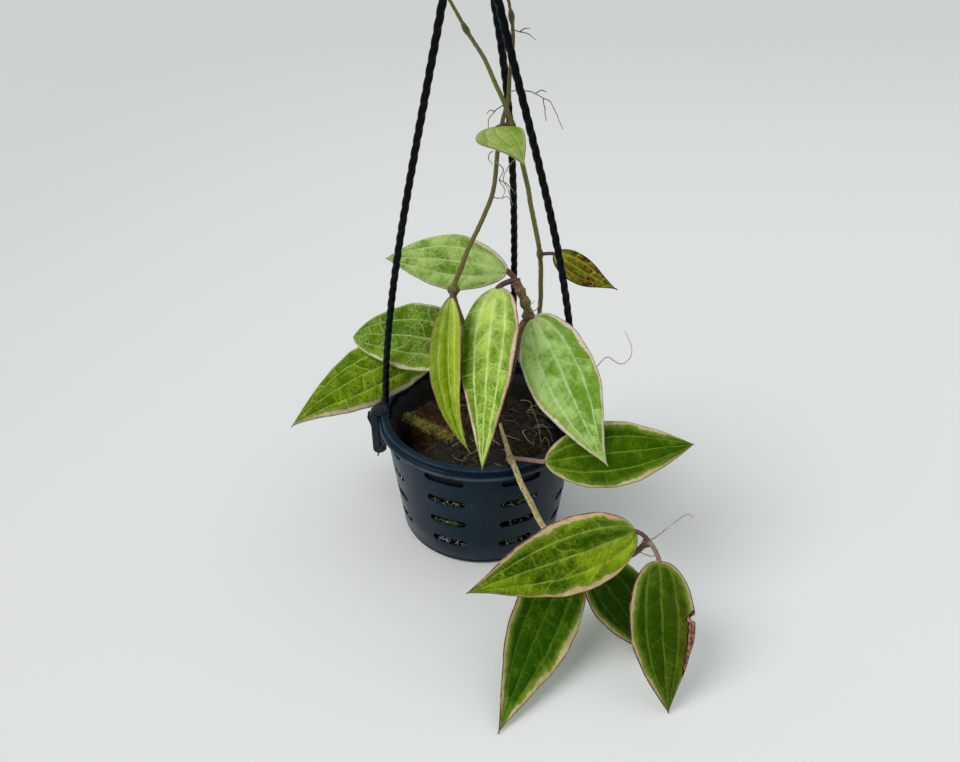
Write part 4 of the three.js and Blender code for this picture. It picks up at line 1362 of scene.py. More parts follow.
def by_chance(step, lane):
    """A random number of 0 to 1 for each whole step in each lane between the veins."""
    cell = place(hoya, "CombineXYZ", {0: step, 1: lane, 2: asked["Seed"]}).outputs[0]
    return place(hoya, "TexWhiteNoise", {"Vector": cell}).outputs["Value"]


wobble = swing(hoya, grain(hoya, spot, 0.09, 2), 1.5)
left, middle, right = (add(hoya, lane, wobble) for lane in (left, middle, right))
nearest = calc(hoya, "MINIMUM", calc(hoya, "ABSOLUTE", left), calc(hoya, "ABSOLUTE", right))
nearest = calc(hoya, "MINIMUM", nearest, calc(hoya, "ABSOLUTE", middle))
taper = fade(hoya, share_along, 0, 1, 1.3, 0.4)
outside = calc(hoya, "DIVIDE", nearest, times(hoya, asked["Vein width"], taper))
vein = fade(hoya, outside, 0.1, 1, 1, 0)
glow = fade(hoya, outside, 0.3, 3.6, 1, 0)
fan = times(hoya, glow, fade(hoya, share_along, 0, 0.55, 1, 0.2))
fan = times(hoya, fan, asked["Fan"])

lane = add(hoya, calc(hoya, "GREATER_THAN", left, 0), calc(hoya, "GREATER_THAN", middle, 0))
lane = add(hoya, lane, calc(hoya, "GREATER_THAN", right, 0))
cloud = swing(hoya, grain(hoya, spot, 0.05, 1), 2.4)
slant = times(hoya, calc(hoya, "ABSOLUTE", across), -0.085)
step = add(hoya, times(hoya, along, asked["Cross veins"]), slant)
step = add(hoya, add(hoya, step, cloud), times(hoya, lane, 0.41))
step = add(hoya, step, 50)
off_line = calc(hoya, "DIVIDE", calc(hoya, "PINGPONG", step, 0.5), asked["Cross veins"])
line_strength = fade(hoya, by_chance(calc(hoya, "ROUND", step), lane), 0.15, 0.8)
cross = times(hoya, fade(hoya, off_line, 0.05, 0.85, 1, 0), line_strength)

bend = place(hoya, "TexNoise", {"Vector": spot, "Scale": 0.3, "Detail": 2.0}).outputs["Color"]
bent = place(hoya, "VectorMath", {0: spot, 1: bend}, operation="ADD").outputs[0]
net_cells = {"Vector": bent, "Scale": 0.34, "Randomness": 1.0}
net = place(hoya, "TexVoronoi", net_cells, voronoi_dimensions="2D", feature="DISTANCE_TO_EDGE")
net = fade(hoya, net.outputs["Distance"], 0.02, 0.22, 1, 0)
net = times(hoya, net, fade(hoya, grain(hoya, spot, 0.21, 1), 0.35, 0.6))
print("nodes with the veins:", len(hoya.nodes))

# %% [markdown]
# The green between the veins runs from deep to milky. Each panel has a tone of its own, soft mottling
# and a fine grain lie over it, and the mesh says which lanes and spots are paler or darker: partly the
# leaf's own milkiness, partly painted highlights and painted shade. The vein colours go on top, with
# the main veins worn away here and there.

# %% The green and the veins on it
mottle = grain(hoya, spot, 0.16, 4, 0.55)
fine = grain(hoya, spot, 0.8, 3, 0.6)
tone = swing(hoya, by_chance(calc(hoya, "FLOOR", step), lane), asked["Panels"])
tone = times(hoya, tone, fade(hoya, off_line, 0, 2.4, 0.3, 1))
tone = add(hoya, tone, swing(hoya, mottle, asked["Mottle"]))
tone = add(hoya, tone, swing(hoya, fine, 0.85))
# The milk number is the leaf's own paler green together with painted highlights and painted shade.
tone = add(hoya, tone, milk)
colour = mix(hoya, fade(hoya, tone, 0, 1), asked["Deep"], asked["Milky"])
stain = times(hoya, blush, fade(hoya, grain(hoya, spot, 0.34, 4, 0.65), 0.36, 0.6))
colour = mix(hoya, stain, colour, asked["Blush"])
colour = mix(hoya, times(hoya, net, asked["Net share"]), colour, asked["Vein"])
colour = mix(hoya, times(hoya, cross, asked["Cross share"]), colour, asked["Vein"])
worn = fade(hoya, grain(hoya, spot, 0.13, 2), 0.32, 0.6, 0.5, 1)
line = times(hoya, calc(hoya, "MAXIMUM", vein, fan), asked["Vein share"])
colour = mix(hoya, times(hoya, line, worn), colour, asked["Vein"])
print("nodes with the green:", len(hoya.nodes))

# %% [markdown]
# The cream band is as wide as the mesh says, and its inner edge wanders in and out in bays and
# notches. A yellower rim lies inside it, pink clouds and flecks lie on it, and the hem is a fine
# maroon line along the very edge.

# %% The margin
bays = fade(hoya, grain(hoya, spot, 0.11, 2, 0.5), 0.34, 0.66)
notches = fade(hoya, grain(hoya, spot, 0.42, 3, 0.6), 0.35, 0.65)
ragged = add(hoya, times(hoya, bays, 0.62), times(hoya, notches, 0.22))
ragged = times(hoya, cream_width, add(hoya, ragged, 0.42))
inside = less(hoya, edge, ragged)
band = fade(hoya, inside, -0.3, 0.7, 1, 0)
band = times(hoya, band, fade(hoya, cream_width, 0.05, 0.4))
rim = fade(hoya, add(hoya, inside, times(hoya, mottle, 1.6)), 0.2, 4.6, 0.85, 0)
rim = times(hoya, rim, fade(hoya, cream_width, 0.2, 1.6))
colour = mix(hoya, rim, colour, asked["Rim"])
pink = fade(hoya, grain(hoya, spot, 0.22, 3), 0.32, 0.68)
pink = add(hoya, pink, fade(hoya, edge, 0.3, 1.3, 0.6, 0))
pale = mix(hoya, times(hoya, pink, asked["Pinkness"]), asked["Cream"], asked["Pink"])
fleck = fade(hoya, grain(hoya, spot, 0.9, 3, 0.65), 0.54, 0.68, 0, 0.45)
pale = mix(hoya, fleck, pale, asked["Rim"])
colour = mix(hoya, band, colour, pale)
hem = fade(hoya, edge, times(hoya, asked["Edge width"], 0.6), asked["Edge width"], 1, 0)
hem = times(hoya, hem, fade(hoya, grain(hoya, spot, 0.2, 2), 0.32, 0.52, 0.45, 1))
hem = calc(hoya, "MAXIMUM", hem, fade(hoya, share_along, 0.955, 0.995, 0, 0.75))
hem = times(hoya, hem, asked["Edge line"])
print("nodes with the margin:", len(hoya.nodes))

# %% [markdown]
# An old scar is dull pink and brown, with a dark crust where it meets the green. The underside is
# paler and duller, and its veins barely show. For the relief the veins are sunk into the upper face,
# and the roughness follows the mottling, because a hoya's wax is not even.

# %% Scar, underside, relief and gloss
SCAR_BROWN, SCAR_PINK, SCAR_CRUST = paint(104, 66, 50), paint(176, 132, 114), paint(44, 24, 14)
UNDER_DARK, UNDER_LIGHT, UNDER_VEIN = paint(104, 132, 56), paint(126, 152, 78), paint(160, 176, 118)
BLADE_RELIEF = 0.001

crusted = add(hoya, scar, swing(hoya, grain(hoya, spot, 0.3, 3), 0.7))
healed = fade(hoya, grain(hoya, spot, 0.5, 3), 0.35, 0.65)
healed = mix(hoya, healed, SCAR_BROWN, SCAR_PINK)
colour = mix(hoya, fade(hoya, crusted, 0.28, 0.42), colour, SCAR_CRUST)
colour = mix(hoya, fade(hoya, crusted, 0.5, 0.62), colour, healed)
colour = mix(hoya, hem, colour, asked["Edge"])
under = mix(hoya, fine, UNDER_DARK, UNDER_LIGHT)
under = mix(hoya, times(hoya, vein, 0.4), under, UNDER_VEIN)
under = mix(hoya, band, under, pale)
relief_height = times(hoya, fade(hoya, outside, 0, 2.8), 0.36)
relief_height = add(hoya, relief_height, times(hoya, fade(hoya, off_line, 0, 2.2), 0.24))
relief_height = add(hoya, relief_height, times(hoya, net, -0.05))
relief_height = add(hoya, relief_height, times(hoya, mottle, 0.5))
relief_height = add(hoya, relief_height, times(hoya, fine, 0.06))
dull = add(hoya, times(hoya, mottle, 0.2), 0.26)
give(hoya, hoya_out, {
    "Color": mix(hoya, fade(hoya, face, -0.2, 0.2), under, colour),
    "Height": relief_height,
    "Roughness": add(hoya, dull, times(hoya, band, 0.08)),
})


def blade_finish(name, look, seed):
    """The leaf group with the screen colours and strengths of one leaf's look, under a thin waxy gloss."""
    values = {key: look[key] for key in look if key in asked}
    values = {key: paint(*value) if isinstance(value, tuple) else value for key, value in values.items()}
    values["Seed"] = float(seed)
    return group_finish(name + " blade", hoya, values, BLADE_RELIEF, {"Specular IOR Level": 0.035})


print("nodes in the leaf group:", len(hoya.nodes))

# %% [markdown]
# Each leaf is described by a few numbers, the same as in the CAD source: where its blade starts and
# ends, which way it faces, how wide it is and how it arches, sways, twists and cups. The stem and its
# node say where the leaf's petiole grows, and away is the direction in which it leaves.

# %% The leaves' forms
LEAVES = {
    "leaf_upper_left": {
        "stem": "main_stem", "node": 8, "away": (-0.3, 0.3, 1), "base": (14.5, 0.5, 168),
        "tip": (-52.5, 12, 170.5), "face": (0, -0.76, 0.65), "width": 31, "arch": (6, 4.5),
        "sway": (1.5, 2), "twist": -13, "peak": 0.44, "round": 0.67, "taper": 1, "cup": -0.1,
    },
    "leaf_middle": {
        "stem": "main_stem", "node": 8, "away": (-1, -0.2, 0.2), "base": (9, -7.5, 162),
        "tip": (0.5, -70, 88.5), "face": (-0.47, -0.85, 0.24), "width": 33, "arch": (9, 5.5),
        "sway": (-0.5, -2), "twist": 4, "peak": 0.31, "round": 0.8, "taper": 0.98, "cup": 0.08,
    },
    "leaf_right": {
        "stem": "main_stem", "node": 5, "away": (0.2, -0.8, 0.6), "base": (28, -12.5, 147),
        "tip": (66, -66.5, 88), "face": (-0.22, -0.88, 0.42), "width": 38, "arch": (5.5, 2.5),
        "sway": (-4.5, 3), "twist": -13, "peak": 0.39, "round": 0.7, "taper": 1.15, "cup": 0.3,
    },
    "leaf_folded": {
        "stem": "left_vine", "node": 6, "away": (-0.3, -0.8, 0.2), "base": (-15.5, -16.5, 161.5),
        "tip": (-6, -49, 83.5), "face": (-0.22, -0.95, 0.2), "width": 17, "arch": (3, 8),
        "sway": (5.5, 8.5), "twist": 20, "peak": 0.39, "round": 0.77, "taper": 1.06, "fold": 0.9,
    },
    "leaf_left": {
        "stem": "left_vine", "node": 4, "away": (-0.8, 0.5, 0), "base": (-7, -9.5, 126),
        "tip": (-76.5, 23.5, 115), "face": (-0.07, -0.73, 0.68), "width": 39.5, "arch": (2.5, 10.5),
        "sway": (5, 2), "twist": 20, "peak": 0.4, "round": 0.63, "taper": 0.65,
    },
    "leaf_lower_left": {
        "stem": "left_vine", "node": 4, "away": (-0.1, 0.5, -1), "base": (-20, -1, 122),
        "tip": (-119, 10.5, 57.5), "face": (-0.15, -0.78, 0.61), "width": 37, "arch": (2.5, 5),
        "sway": (9.5, 10.5), "twist": 20, "peak": 0.46, "round": 0.67, "taper": 1.2, "cup": -0.4,
    },
    "leaf_top": {
        "stem": "right_vine", "node": 9, "away": (-1, 0.1, 0.3), "base": (7.5, -5, 245),
        "tip": (19, -39.5, 237), "face": (0, -0.44, 0.9), "width": 22.5, "arch": (1.5, 6.5),
        "sway": (6, 0.5), "twist": -14, "peak": 0.37, "round": 0.65, "taper": 1.06, "cup": 0.07,
    },
    "leaf_young": {
        "stem": "right_vine", "node": 5, "away": (1, -0.3, 0.1), "base": (39, 3.5, 177),
        "tip": (75, 4, 155.5), "face": (0.17, -0.87, 0.46), "width": 16, "arch": (2.5, -2),
        "sway": (1.5, 0.5), "twist": 2, "peak": 0.37, "round": 0.7, "taper": 1.25, "cup": -0.05,
    },
    "leaf_over_rim": {
        "stem": "trailing_stem", "node": 4, "away": (1, -0.1, 0.3), "base": (33.5, -60, 86),
        "tip": (113.5, -52, 91.5), "face": (-0.02, -0.65, 0.76), "width": 35.5, "arch": (4, 5.5),
        "sway": (0.5, 1), "twist": -2, "peak": 0.42, "round": 0.73, "taper": 0.97,
    },
    "leaf_front": {
        "stem": "trailing_stem", "node": 13, "away": (-0.1, 0.1, 1), "base": (76.5, -98.5, 73),
        "tip": (-7, -130.5, 64), "face": (0.08, -0.89, 0.44), "width": 38, "arch": (1, -2.5),
        "sway": (-2.5, 1), "twist": -20, "peak": 0.39, "round": 0.65, "taper": 1.07,
    },
    "leaf_front_right": {
        "stem": "trailing_stem", "node": 13, "away": (0.7, -0.7, 0.1), "base": (88, -107, 61),
        "tip": (91.5, -149.5, 1), "face": (0.15, -0.85, 0.5), "width": 33.5, "arch": (6.5, 4.5),
        "sway": (3, 3), "twist": -5, "peak": 0.4, "round": 0.52, "taper": 1.06, "cup": 0.07,
    },
    "leaf_front_middle": {
        "stem": "trailing_stem", "node": 10, "away": (0.5, 0.6, -0.6), "base": (59, -85, 35),
        "tip": (88.5, -115, 2.2), "face": (0.41, -0.6, 0.69), "width": 36, "arch": (1.5, 3.5),
        "sway": (-1, 0.5), "twist": 2, "peak": 0.38, "round": 0.63, "taper": 0.95, "cup": 0.27,
    },
    "leaf_front_lower": {
        "stem": "trailing_stem", "node": 10, "away": (-0.6, 0.6, -0.6), "base": (48, -84, 36.5),
        "tip": (8, -160.5, 1), "face": (0.07, -0.86, 0.51), "width": 36, "arch": (2.5, 1), "sway": (3.5, 2),
        "twist": -3, "peak": 0.38, "round": 0.52, "taper": 1.14, "cup": 0.2,
    },
}
print("leaves:", len(LEAVES), "widest:", max(leaf["width"] for leaf in LEAVES.values()))

# %% [markdown]
# For its looks each leaf has the width of the cream band along its plus and its minus margin, as
# pairs of a share of the length and millimetres, and how milky each of the four lanes between the
# veins is, which also paints the light and shade that fall on the lanes. Spots of milk, blush or scar
# are (share across, share along, amount), and a bite is (share along, spread, depth). A spot of milk
# is partly the leaf's own paleness and partly a painted highlight, and one with an amount below zero
# is painted shade. Names with a capital are inputs of the leaf group.

# %% The leaves' looks
LOOKS = {
    "leaf_upper_left": {
        "plus": [(0, 1.2), (0.1, 2), (0.3, 1.6), (0.45, 0.6), (1, 0.3)],
        "minus": [(0, 0.6), (0.5, 0.7), (1, 0.3)], "lanes": (0.5, 0.5, 0.5, 0.52),
        "milk": [(0, 0, 0.4), (0, 0.9, -0.25)], "Cream": (226, 222, 202), "Pink": (190, 160, 146),
        "Deep": (98, 138, 28), "Milky": (164, 198, 102), "Vein": (192, 212, 140), "Vein share": 0.95,
        "Mottle": 2.0, "Fan": 0.5, "Cross share": 0.5, "Net share": 0.4, "Vein width": 1.0,
        "Pinkness": 0.45, "Edge line": 0.5,
    },
    "leaf_middle": {
        "plus": [(0, 0.3), (0.5, 0.4), (0.6, 1.5), (0.8, 1.4), (0.9, 0.3), (1, 0)],
        "minus": [(0, 1), (0.1, 1.8), (0.35, 2), (0.6, 1.3), (0.75, 1), (0.85, 0.3), (1, 0)],
        "lanes": (0.42, 0.45, 0.4, 0.0), "milk": [(0.2, 0.1, 0.5), (0, 0.85, -0.2)],
        "Cream": (220, 206, 172), "Pink": (196, 150, 134), "Deep": (82, 126, 0), "Milky": (172, 208, 80),
        "Vein": (212, 230, 140), "Mottle": 1.6, "Fan": 0.6, "Cross share": 0.6, "Net share": 0.26,
        "Panels": 0.55, "Vein width": 1.2, "Vein share": 0.95, "Pinkness": 0.6,
    },
    "leaf_right": {
        "plus": [(0, 0.8), (0.3, 1.1), (0.5, 1.3), (0.62, 2.1), (0.74, 1.6), (0.85, 0.9), (1, 0.2)],
        "minus": [(0, 0.6), (0.08, 1.5), (0.25, 2.1), (0.42, 2), (0.55, 1.2), (0.9, 0.8), (1, 0)],
        "lanes": (0.24, 0.46, 0.62, 0.68),
        "milk": [(-0.25, 0.55, -0.3), (0, 0.02, 0.3), (0, 0.95, -0.1), (0.9, 0.3, 0.2)],
        "Cream": (226, 222, 190), "Pink": (190, 164, 146), "Deep": (102, 148, 30), "Milky": (174, 210, 120),
        "Vein": (200, 222, 154), "Mottle": 2.3, "Fan": 0.35, "Cross share": 0.38, "Net share": 0.16,
        "Vein width": 1.2, "Edge line": 0.45,
    },
    "leaf_folded": {
        "plus": [(0, 0.4), (0.5, 0.5), (1, 0.1)], "minus": [(0, 0.4), (0.5, 0.5), (1, 0.1)],
        "lanes": (0.5, 0.45, 0.08, 0.12), "milk": [(0, 0.9, 0.15)], "Cream": (216, 196, 160),
        "Pink": (188, 136, 118), "Deep": (134, 166, 0), "Milky": (172, 196, 60), "Vein": (212, 222, 124),
        "Fan": 0.5, "Cross share": 0.2, "Net share": 0.1, "Panels": 0.3, "Vein width": 0.7, "Pinkness": 0.7,
        "Edge line": 0.5,
    },
    "leaf_left": {
        "plus": [(0, 0.5), (0.5, 0.8), (1, 0.5)],
        "minus": [(0, 1), (0.15, 2.2), (0.6, 2.4), (0.8, 1.2), (1, 0.6)], "lanes": (0.45, 0.3, 0.2, 0.25),
        "milk": [(0, 0.95, 0.4)], "Cream": (204, 208, 160), "Pink": (178, 166, 140), "Deep": (70, 104, 4),
        "Milky": (120, 152, 36), "Vein": (176, 196, 116), "Mottle": 1.6, "Fan": 0.4, "Cross share": 0.4,
        "Net share": 0.32, "Panels": 0.55, "Vein width": 0.7, "Edge line": 0.5,
    },
    "leaf_lower_left": {
        "plus": [(0, 0.5), (0.5, 0.6), (1, 0.3)],
        "minus": [(0, 0.8), (0.2, 2), (0.5, 2.6), (0.8, 2.2), (0.95, 0.8), (1, 0.2)],
        "lanes": (0.35, 0.22, 0.15, 0.15), "milk": [(0, 0.95, 0.2)], "Cream": (208, 200, 164),
        "Pink": (180, 150, 130), "Deep": (70, 104, 0), "Milky": (144, 174, 26), "Vein": (176, 196, 76),
        "Mottle": 1.8, "Cross share": 0.5, "Net share": 0.2, "Vein width": 0.66, "Pinkness": 0.5,
    },
    "leaf_top": {
        "plus": [(0, 0.4), (0.5, 0.4), (1, 0.2)], "minus": [(0, 0.3), (0.5, 0.7), (1, 0.4)],
        "lanes": (0.3, 0.45, 0.7, 0.75), "Deep": (106, 142, 26), "Milky": (154, 176, 98),
        "Vein": (178, 196, 116), "Cross share": 0.3, "Panels": 0.4, "Vein width": 0.6, "Pinkness": 0.3,
    },
    "leaf_young": {
        "plus": [(0, 0.0), (1, 0.0)], "minus": [(0, 0.0), (1, 0.0)], "lanes": (0.2, 0.3, 0.35, 0.25),
        "blush": [
            (0.6, 0.25, 1.0), (0.6, 0.6, 1.8), (-0.6, 0.55, 1.6), (0, 0.95, 2.2), (-0.5, 0.8, 1.8),
            (-0.8, 0.3, 1.6), (0, 0.5, 0.35),
        ],
        "Deep": (98, 98, 8), "Milky": (146, 156, 36), "Vein": (186, 186, 66), "Blush": (84, 30, 14),
        "Cross share": 0.6, "Net share": 0.3, "Panels": 0.4, "Vein width": 0.6, "Pinkness": 0.2,
        "Edge line": 1.0,
    },
    "leaf_over_rim": {
        "plus": [(0, 1.5), (0.2, 1.3), (0.4, 1.1), (0.54, 1.8), (0.72, 2), (0.82, 0.8), (1, 0.1)],
        "minus": [(0, 1.5), (0.2, 1.3), (0.35, 1.2), (0.45, 2.1), (0.75, 2.3), (0.85, 0.8), (1, 0.1)],
        "lanes": (0.12, 0.2, 0.2, 0.15), "milk": [(0, 0.6, 0.12)], "Cream": (204, 200, 150),
        "Pink": (168, 136, 112), "Deep": (48, 82, 0), "Milky": (96, 130, 12), "Vein": (134, 162, 44),
        "Mottle": 1.5, "Vein share": 0.6, "Fan": 0.25, "Cross share": 0.2, "Net share": 0.08, "Panels": 0.4,
        "Vein width": 0.8, "Pinkness": 0.45, "Edge line": 0.5,
    },
    "leaf_front": {
        "plus": [
            (0, 0.6), (0.06, 1.8), (0.2, 3.4), (0.5, 3.6), (0.62, 2), (0.75, 1.1), (0.92, 0.5), (1, 0.1),
        ],
        "minus": [
            (0, 0.3), (0.1, 0.6), (0.2, 1.7), (0.28, 3.4), (0.42, 3), (0.52, 1.6), (0.65, 0.8), (1, 0.2),
        ],
        "lanes": (0.34, 0.3, 0.1, 0.18),
        # Painted highlights near the base and tip, and painted shade where an amount is below zero.
        "milk": [
            (-0.26, 0.16, 0.55), (-0.3, 0.3, 0.3), (-0.85, 0.12, 0.35), (0, 0.92, 0.4), (-0.5, 0.76, 0.35),
            (0.8, 0.36, 0.3), (0.12, 0.5, 0.2), (0.3, 0.13, -0.4), (-0.35, 0.5, -0.2),
        ],
        "Cream": (210, 192, 142), "Pink": (192, 142, 120), "Deep": (46, 80, 0), "Milky": (136, 162, 14),
        "Vein": (168, 194, 72), "Cross veins": 0.085, "Mottle": 1.6, "Fan": 0.45, "Cross share": 0.42,
        "Net share": 0.12, "Panels": 0.3, "Vein width": 0.9, "Vein share": 0.65, "Pinkness": 0.55,
        "Edge line": 0.8,
    },
    "leaf_front_right": {
        "plus": [(0, 1.2), (0.2, 1.9), (0.7, 1.6), (0.9, 0.9), (1, 0.2)],
        "minus": [(0, 1.2), (0.25, 1.6), (0.34, 1.8), (0.4, 0.9), (0.65, 0.7), (0.72, 0.9), (1, 0.1)],
        "lanes": (0.22, 0.1, 0.02, 0.05), "milk": [(0, 0.97, 0.35)],
        "blush": [(-0.5, 0.3, 0.35), (0, 0.85, 0.4), (-0.9, 0.52, 0.9)], "bite": (0.37, 0.018, 0.15),
        "scar": [(-0.98, 0.47, 0.95), (-0.98, 0.58, 0.85), (-1.0, 0.66, 0.7), (-0.98, 0.4, 0.6)],
        "Cream": (186, 176, 132), "Pink": (170, 118, 104), "Deep": (42, 72, 0), "Milky": (96, 122, 10),
        "Vein": (124, 152, 56), "Blush": (92, 62, 30), "Mottle": 1.5, "Fan": 0.2, "Cross share": 0.15,
        "Net share": 0.06, "Panels": 0.35, "Vein width": 1.0, "Vein share": 0.4, "Pinkness": 0.55,
        "Edge line": 1.0,
    },
    "leaf_front_middle": {
        "plus": [(0, 0.8), (0.3, 1.6), (0.7, 1.8), (1, 0.4)], "minus": [(0, 0.8), (0.5, 0.9), (1, 0.3)],
        "lanes": (0.05, 0.03, 0.03, 0.05), "Cream": (180, 164, 122), "Pink": (168, 118, 104),
        "Deep": (30, 60, 0), "Milky": (70, 102, 8), "Vein": (98, 128, 40), "Fan": 0.15, "Cross share": 0.2,
        "Net share": 0.05, "Panels": 0.3, "Vein width": 0.9, "Vein share": 0.35, "Edge line": 1.0,
    },
    "leaf_front_lower": {
        "plus": [(0, 1.4), (0.3, 1.9), (0.8, 1.7), (1, 0.4)],
        "minus": [(0, 0.8), (0.25, 1.4), (0.4, 2.8), (0.75, 2.6), (0.9, 1.2), (1, 0.3)],
        "lanes": (0.12, 0.06, 0.04, 0.06), "milk": [(0, 0.9, 0.12)], "Cream": (190, 180, 126),
        "Pink": (172, 136, 108), "Deep": (38, 76, 0), "Milky": (102, 138, 8), "Vein": (114, 144, 38),
        "Mottle": 1.6, "Fan": 0.15, "Cross share": 0.22, "Net share": 0.06, "Panels": 0.4,
        "Vein width": 1.1, "Vein share": 0.35, "Pinkness": 0.5, "Edge line": 0.9,
    },
}
print("looks:", len(LOOKS), "with a scar:", [name for name, look in LOOKS.items() if "scar" in look])

# %% [markdown]
# The blade's middle line is a Bezier curve, and its half width follows a sine whose peak is moved
# towards the base and whose powers make the base round and the tip drawn out. A ring runs over the
# upper face and back under the lower one. The blade swells a little between its veins, waves along
# its margin, and ends in a fine drip tip.

# %% The grid of a blade
BLADE_ROWS = 118
BLADE_COLUMNS = 49
BLADE_THICKNESS = 1.2
MARGIN_THICKNESS = 0.8
MARGIN_ROUNDING = 0.5
VEIN_LANES = (-0.5, 0, 0.5)


def row_shares():
    """Rows that stand closer together at the ends: a mix of s and (1 - cos πs) / 2."""
    s = np.linspace(0, 1, BLADE_ROWS)
    return 0.2 * s + 0.8 * (1 - np.cos(math.pi * s)) / 2


def column_shares():
    """Columns across the blade from -1 to 1, closer together at the margins: a mix of v and sin."""
    v = np.linspace(-1, 1, BLADE_COLUMNS)
    return 0.15 * v + 0.85 * np.sin(v * math.pi / 2)


def blade_line(leaf):
    """The four points of the blade's Bezier and its face direction, square to the chord."""
    base, tip, face = (np.array(leaf[key], float) for key in ("base", "tip", "face"))
    chord = tip - base
    heading = unit(chord)
    face = unit(face - face @ heading * heading)
    side = np.cross(heading, face)
    first = base + chord / 3 + face * leaf["arch"][0] + side * leaf["sway"][0]
    second = base + 2 * chord / 3 + face * leaf["arch"][1] + side * leaf["sway"][1]
    return (base, first, second, tip), face


def half_widths(leaf, t):
    """Half the width: (width / 2) sin(π t^swing)^power, with the swing that puts the peak in place."""
    swing = math.log(0.5) / math.log(leaf["peak"])
    belly = np.maximum(np.sin(math.pi * t**swing), 0)
    power = np.where(t < leaf["peak"], leaf["round"], leaf["taper"])
    return np.maximum(leaf["width"] / 2 * belly**power, np.where(t < 0.5, 1, 0.35))


def blade_axes(leaf, t):
    """The middle line at each row, and the directions out to the margin and up from the face.

    The face turns about the line by twist × (t - 1/2) on its way to the tip.
    """
    corners, face = blade_line(leaf)
    line = bezier(*corners, t)
    heading = unit(np.gradient(line, t, axis=0))
    normal = unit(face - (heading @ face)[:, None] * heading)
    side = np.cross(heading, normal)
    turn = np.radians(leaf["twist"] * (t - 0.5))[:, None]
    up = normal * np.cos(turn) + side * np.sin(turn)
    out = side * np.cos(turn) - normal * np.sin(turn)
    return line, out, up


def blade_grid(leaf, look, seed):
    """The rows and the columns of a blade's rings, and the line and directions that carry them.

    u runs from one margin to the other over the upper face and back under the lower one, and face is
    1 above, -1 below and 0 at the margin. reach is the half width with a wavy margin and any bite.
    """
    t = row_shares()
    line, out, up = blade_axes(leaf, t)
    over = column_shares()
    u = np.concatenate([over, over[-2:0:-1]])
    face = np.concatenate([np.ones(len(over)), -np.ones(len(over) - 2)])
    face[[0, len(over) - 1]] = 0
    half = half_widths(leaf, t)[:, None]
    along = run_length(line)[:, None]
    margin_wave = 1 + 0.010 * np.sin(along / 4.1 + seed) + 0.008 * np.sin(along / 2.3 + 2 * seed)
    reach = half * margin_wave * np.ones_like(u)
    if "bite" in look:
        bite_place, spread, depth = look["bite"]
        bite = depth * np.exp(-(((t - bite_place) / spread) ** 4))[:, None]
        reach = reach * (1 - bite * soft_step(-u, 0.1, 0.9))
    return {"t": t, "u": u, "face": face, "half": half, "along": along, "reach": reach}, (line, out, up)


print("points in a blade's grid:", BLADE_ROWS * (2 * BLADE_COLUMNS - 2))

# %% [markdown]
# Two functions fill that grid: one says how high a point stands over the flat blade, and the other
# gives the numbers that the finish reads. They share the grid, so marks and forms always agree.

# %% Blades


def blade_lift(leaf, grid, seed):
    """How high each point stands: cup + swelling + margin wave + keel ± half the thickness.

    The thickness is rounded off as a quarter circle over the last half millimetre of the margin.
    """
    t, u, face, half, along, reach = grid.values()
    plump = np.minimum(half / 14, 1)
    cup = half * (leaf.get("cup", 0) * u**2 + leaf.get("fold", 0) * np.abs(u))
    swelling = 0.5 * plump * np.sin(2 * math.pi * u) ** 2
    swelling = swelling * (1 + 0.5 * np.sin(along / 3.4 + 5 * np.floor(2 * u) + seed))
    keel = -0.45 * plump * hump(reach * u, 0.9) * (face < 0)
    wave = 0.42 * plump * np.abs(u) ** 3 * np.sin(along / 5.2 + 1.6 * np.sign(u) + seed)
    inward = np.minimum(reach * (1 - np.abs(u)) / MARGIN_ROUNDING, 1)
    rounding = np.sqrt(np.clip(1 - (1 - inward) ** 2, 0, 1))
    thickness = BLADE_THICKNESS + (MARGIN_THICKNESS - BLADE_THICKNESS) * u**2
    tip_thinning = 1 - 0.5 * soft_step(t, 0.93, 1)[:, None]
    return cup + swelling + wave + keel + face * thickness / 2 * rounding * tip_thinning


def soft_spots(spots, u, t, wide=0.38, tall=0.14):
    """The sum of round spots at (u, t): amount × exp(-((u - u0) / wide)² - ((t - t0) / tall)²)."""
    total = np.zeros((len(t), len(u)))
    for spot_u, spot_t, amount in spots:
        total += amount * np.exp(-(((u - spot_u) / wide) ** 2) - (((t[:, None] - spot_t) / tall) ** 2))
    return total


def blade_numbers(look, grid):
    """What the finish reads at each point, with the edge's slope allowed for in the distance to it."""
    t, u, face, half, along, reach = grid.values()
    across = reach * u
    slope = np.gradient(half[:, 0], along[:, 0])[:, None]
    edge = reach * (1 - np.abs(u)) / np.sqrt(1 + slope**2)
    edge = np.minimum(edge, np.minimum(along + 0.4, along[-1] - along + 0.4))
    plus, minus = (np.interp(t, *np.array(look[side], float).T)[:, None] for side in ("plus", "minus"))
    lanes = look["lanes"]
    # Painted light: the lanes and spots of milk add painted highlights and shade to the paler green.
    milk = lanes[0] + soft_spots(look.get("milk", []), u, t)
    for border, before, after in zip(VEIN_LANES, lanes, lanes[1:]):
        milk = milk + (after - before) * soft_step(u, border - 0.03, border + 0.03)
    return {
        "blade": np.stack([across, along + 0 * across, edge], -1),
        "share": np.stack([u + 0 * along, t[:, None] + 0 * across, face + 0 * along], -1),
        "lanes": np.stack([across + 0.5 * half, across, across - 0.5 * half], -1),
        "cream": plus + (minus - plus) * soft_step(-u, -0.15, 0.15),
        "milk": milk,
        "blush": soft_spots(look.get("blush", []), u, t),
        "scar": soft_spots(look.get("scar", []), u, t, 0.19, 0.1),
    }


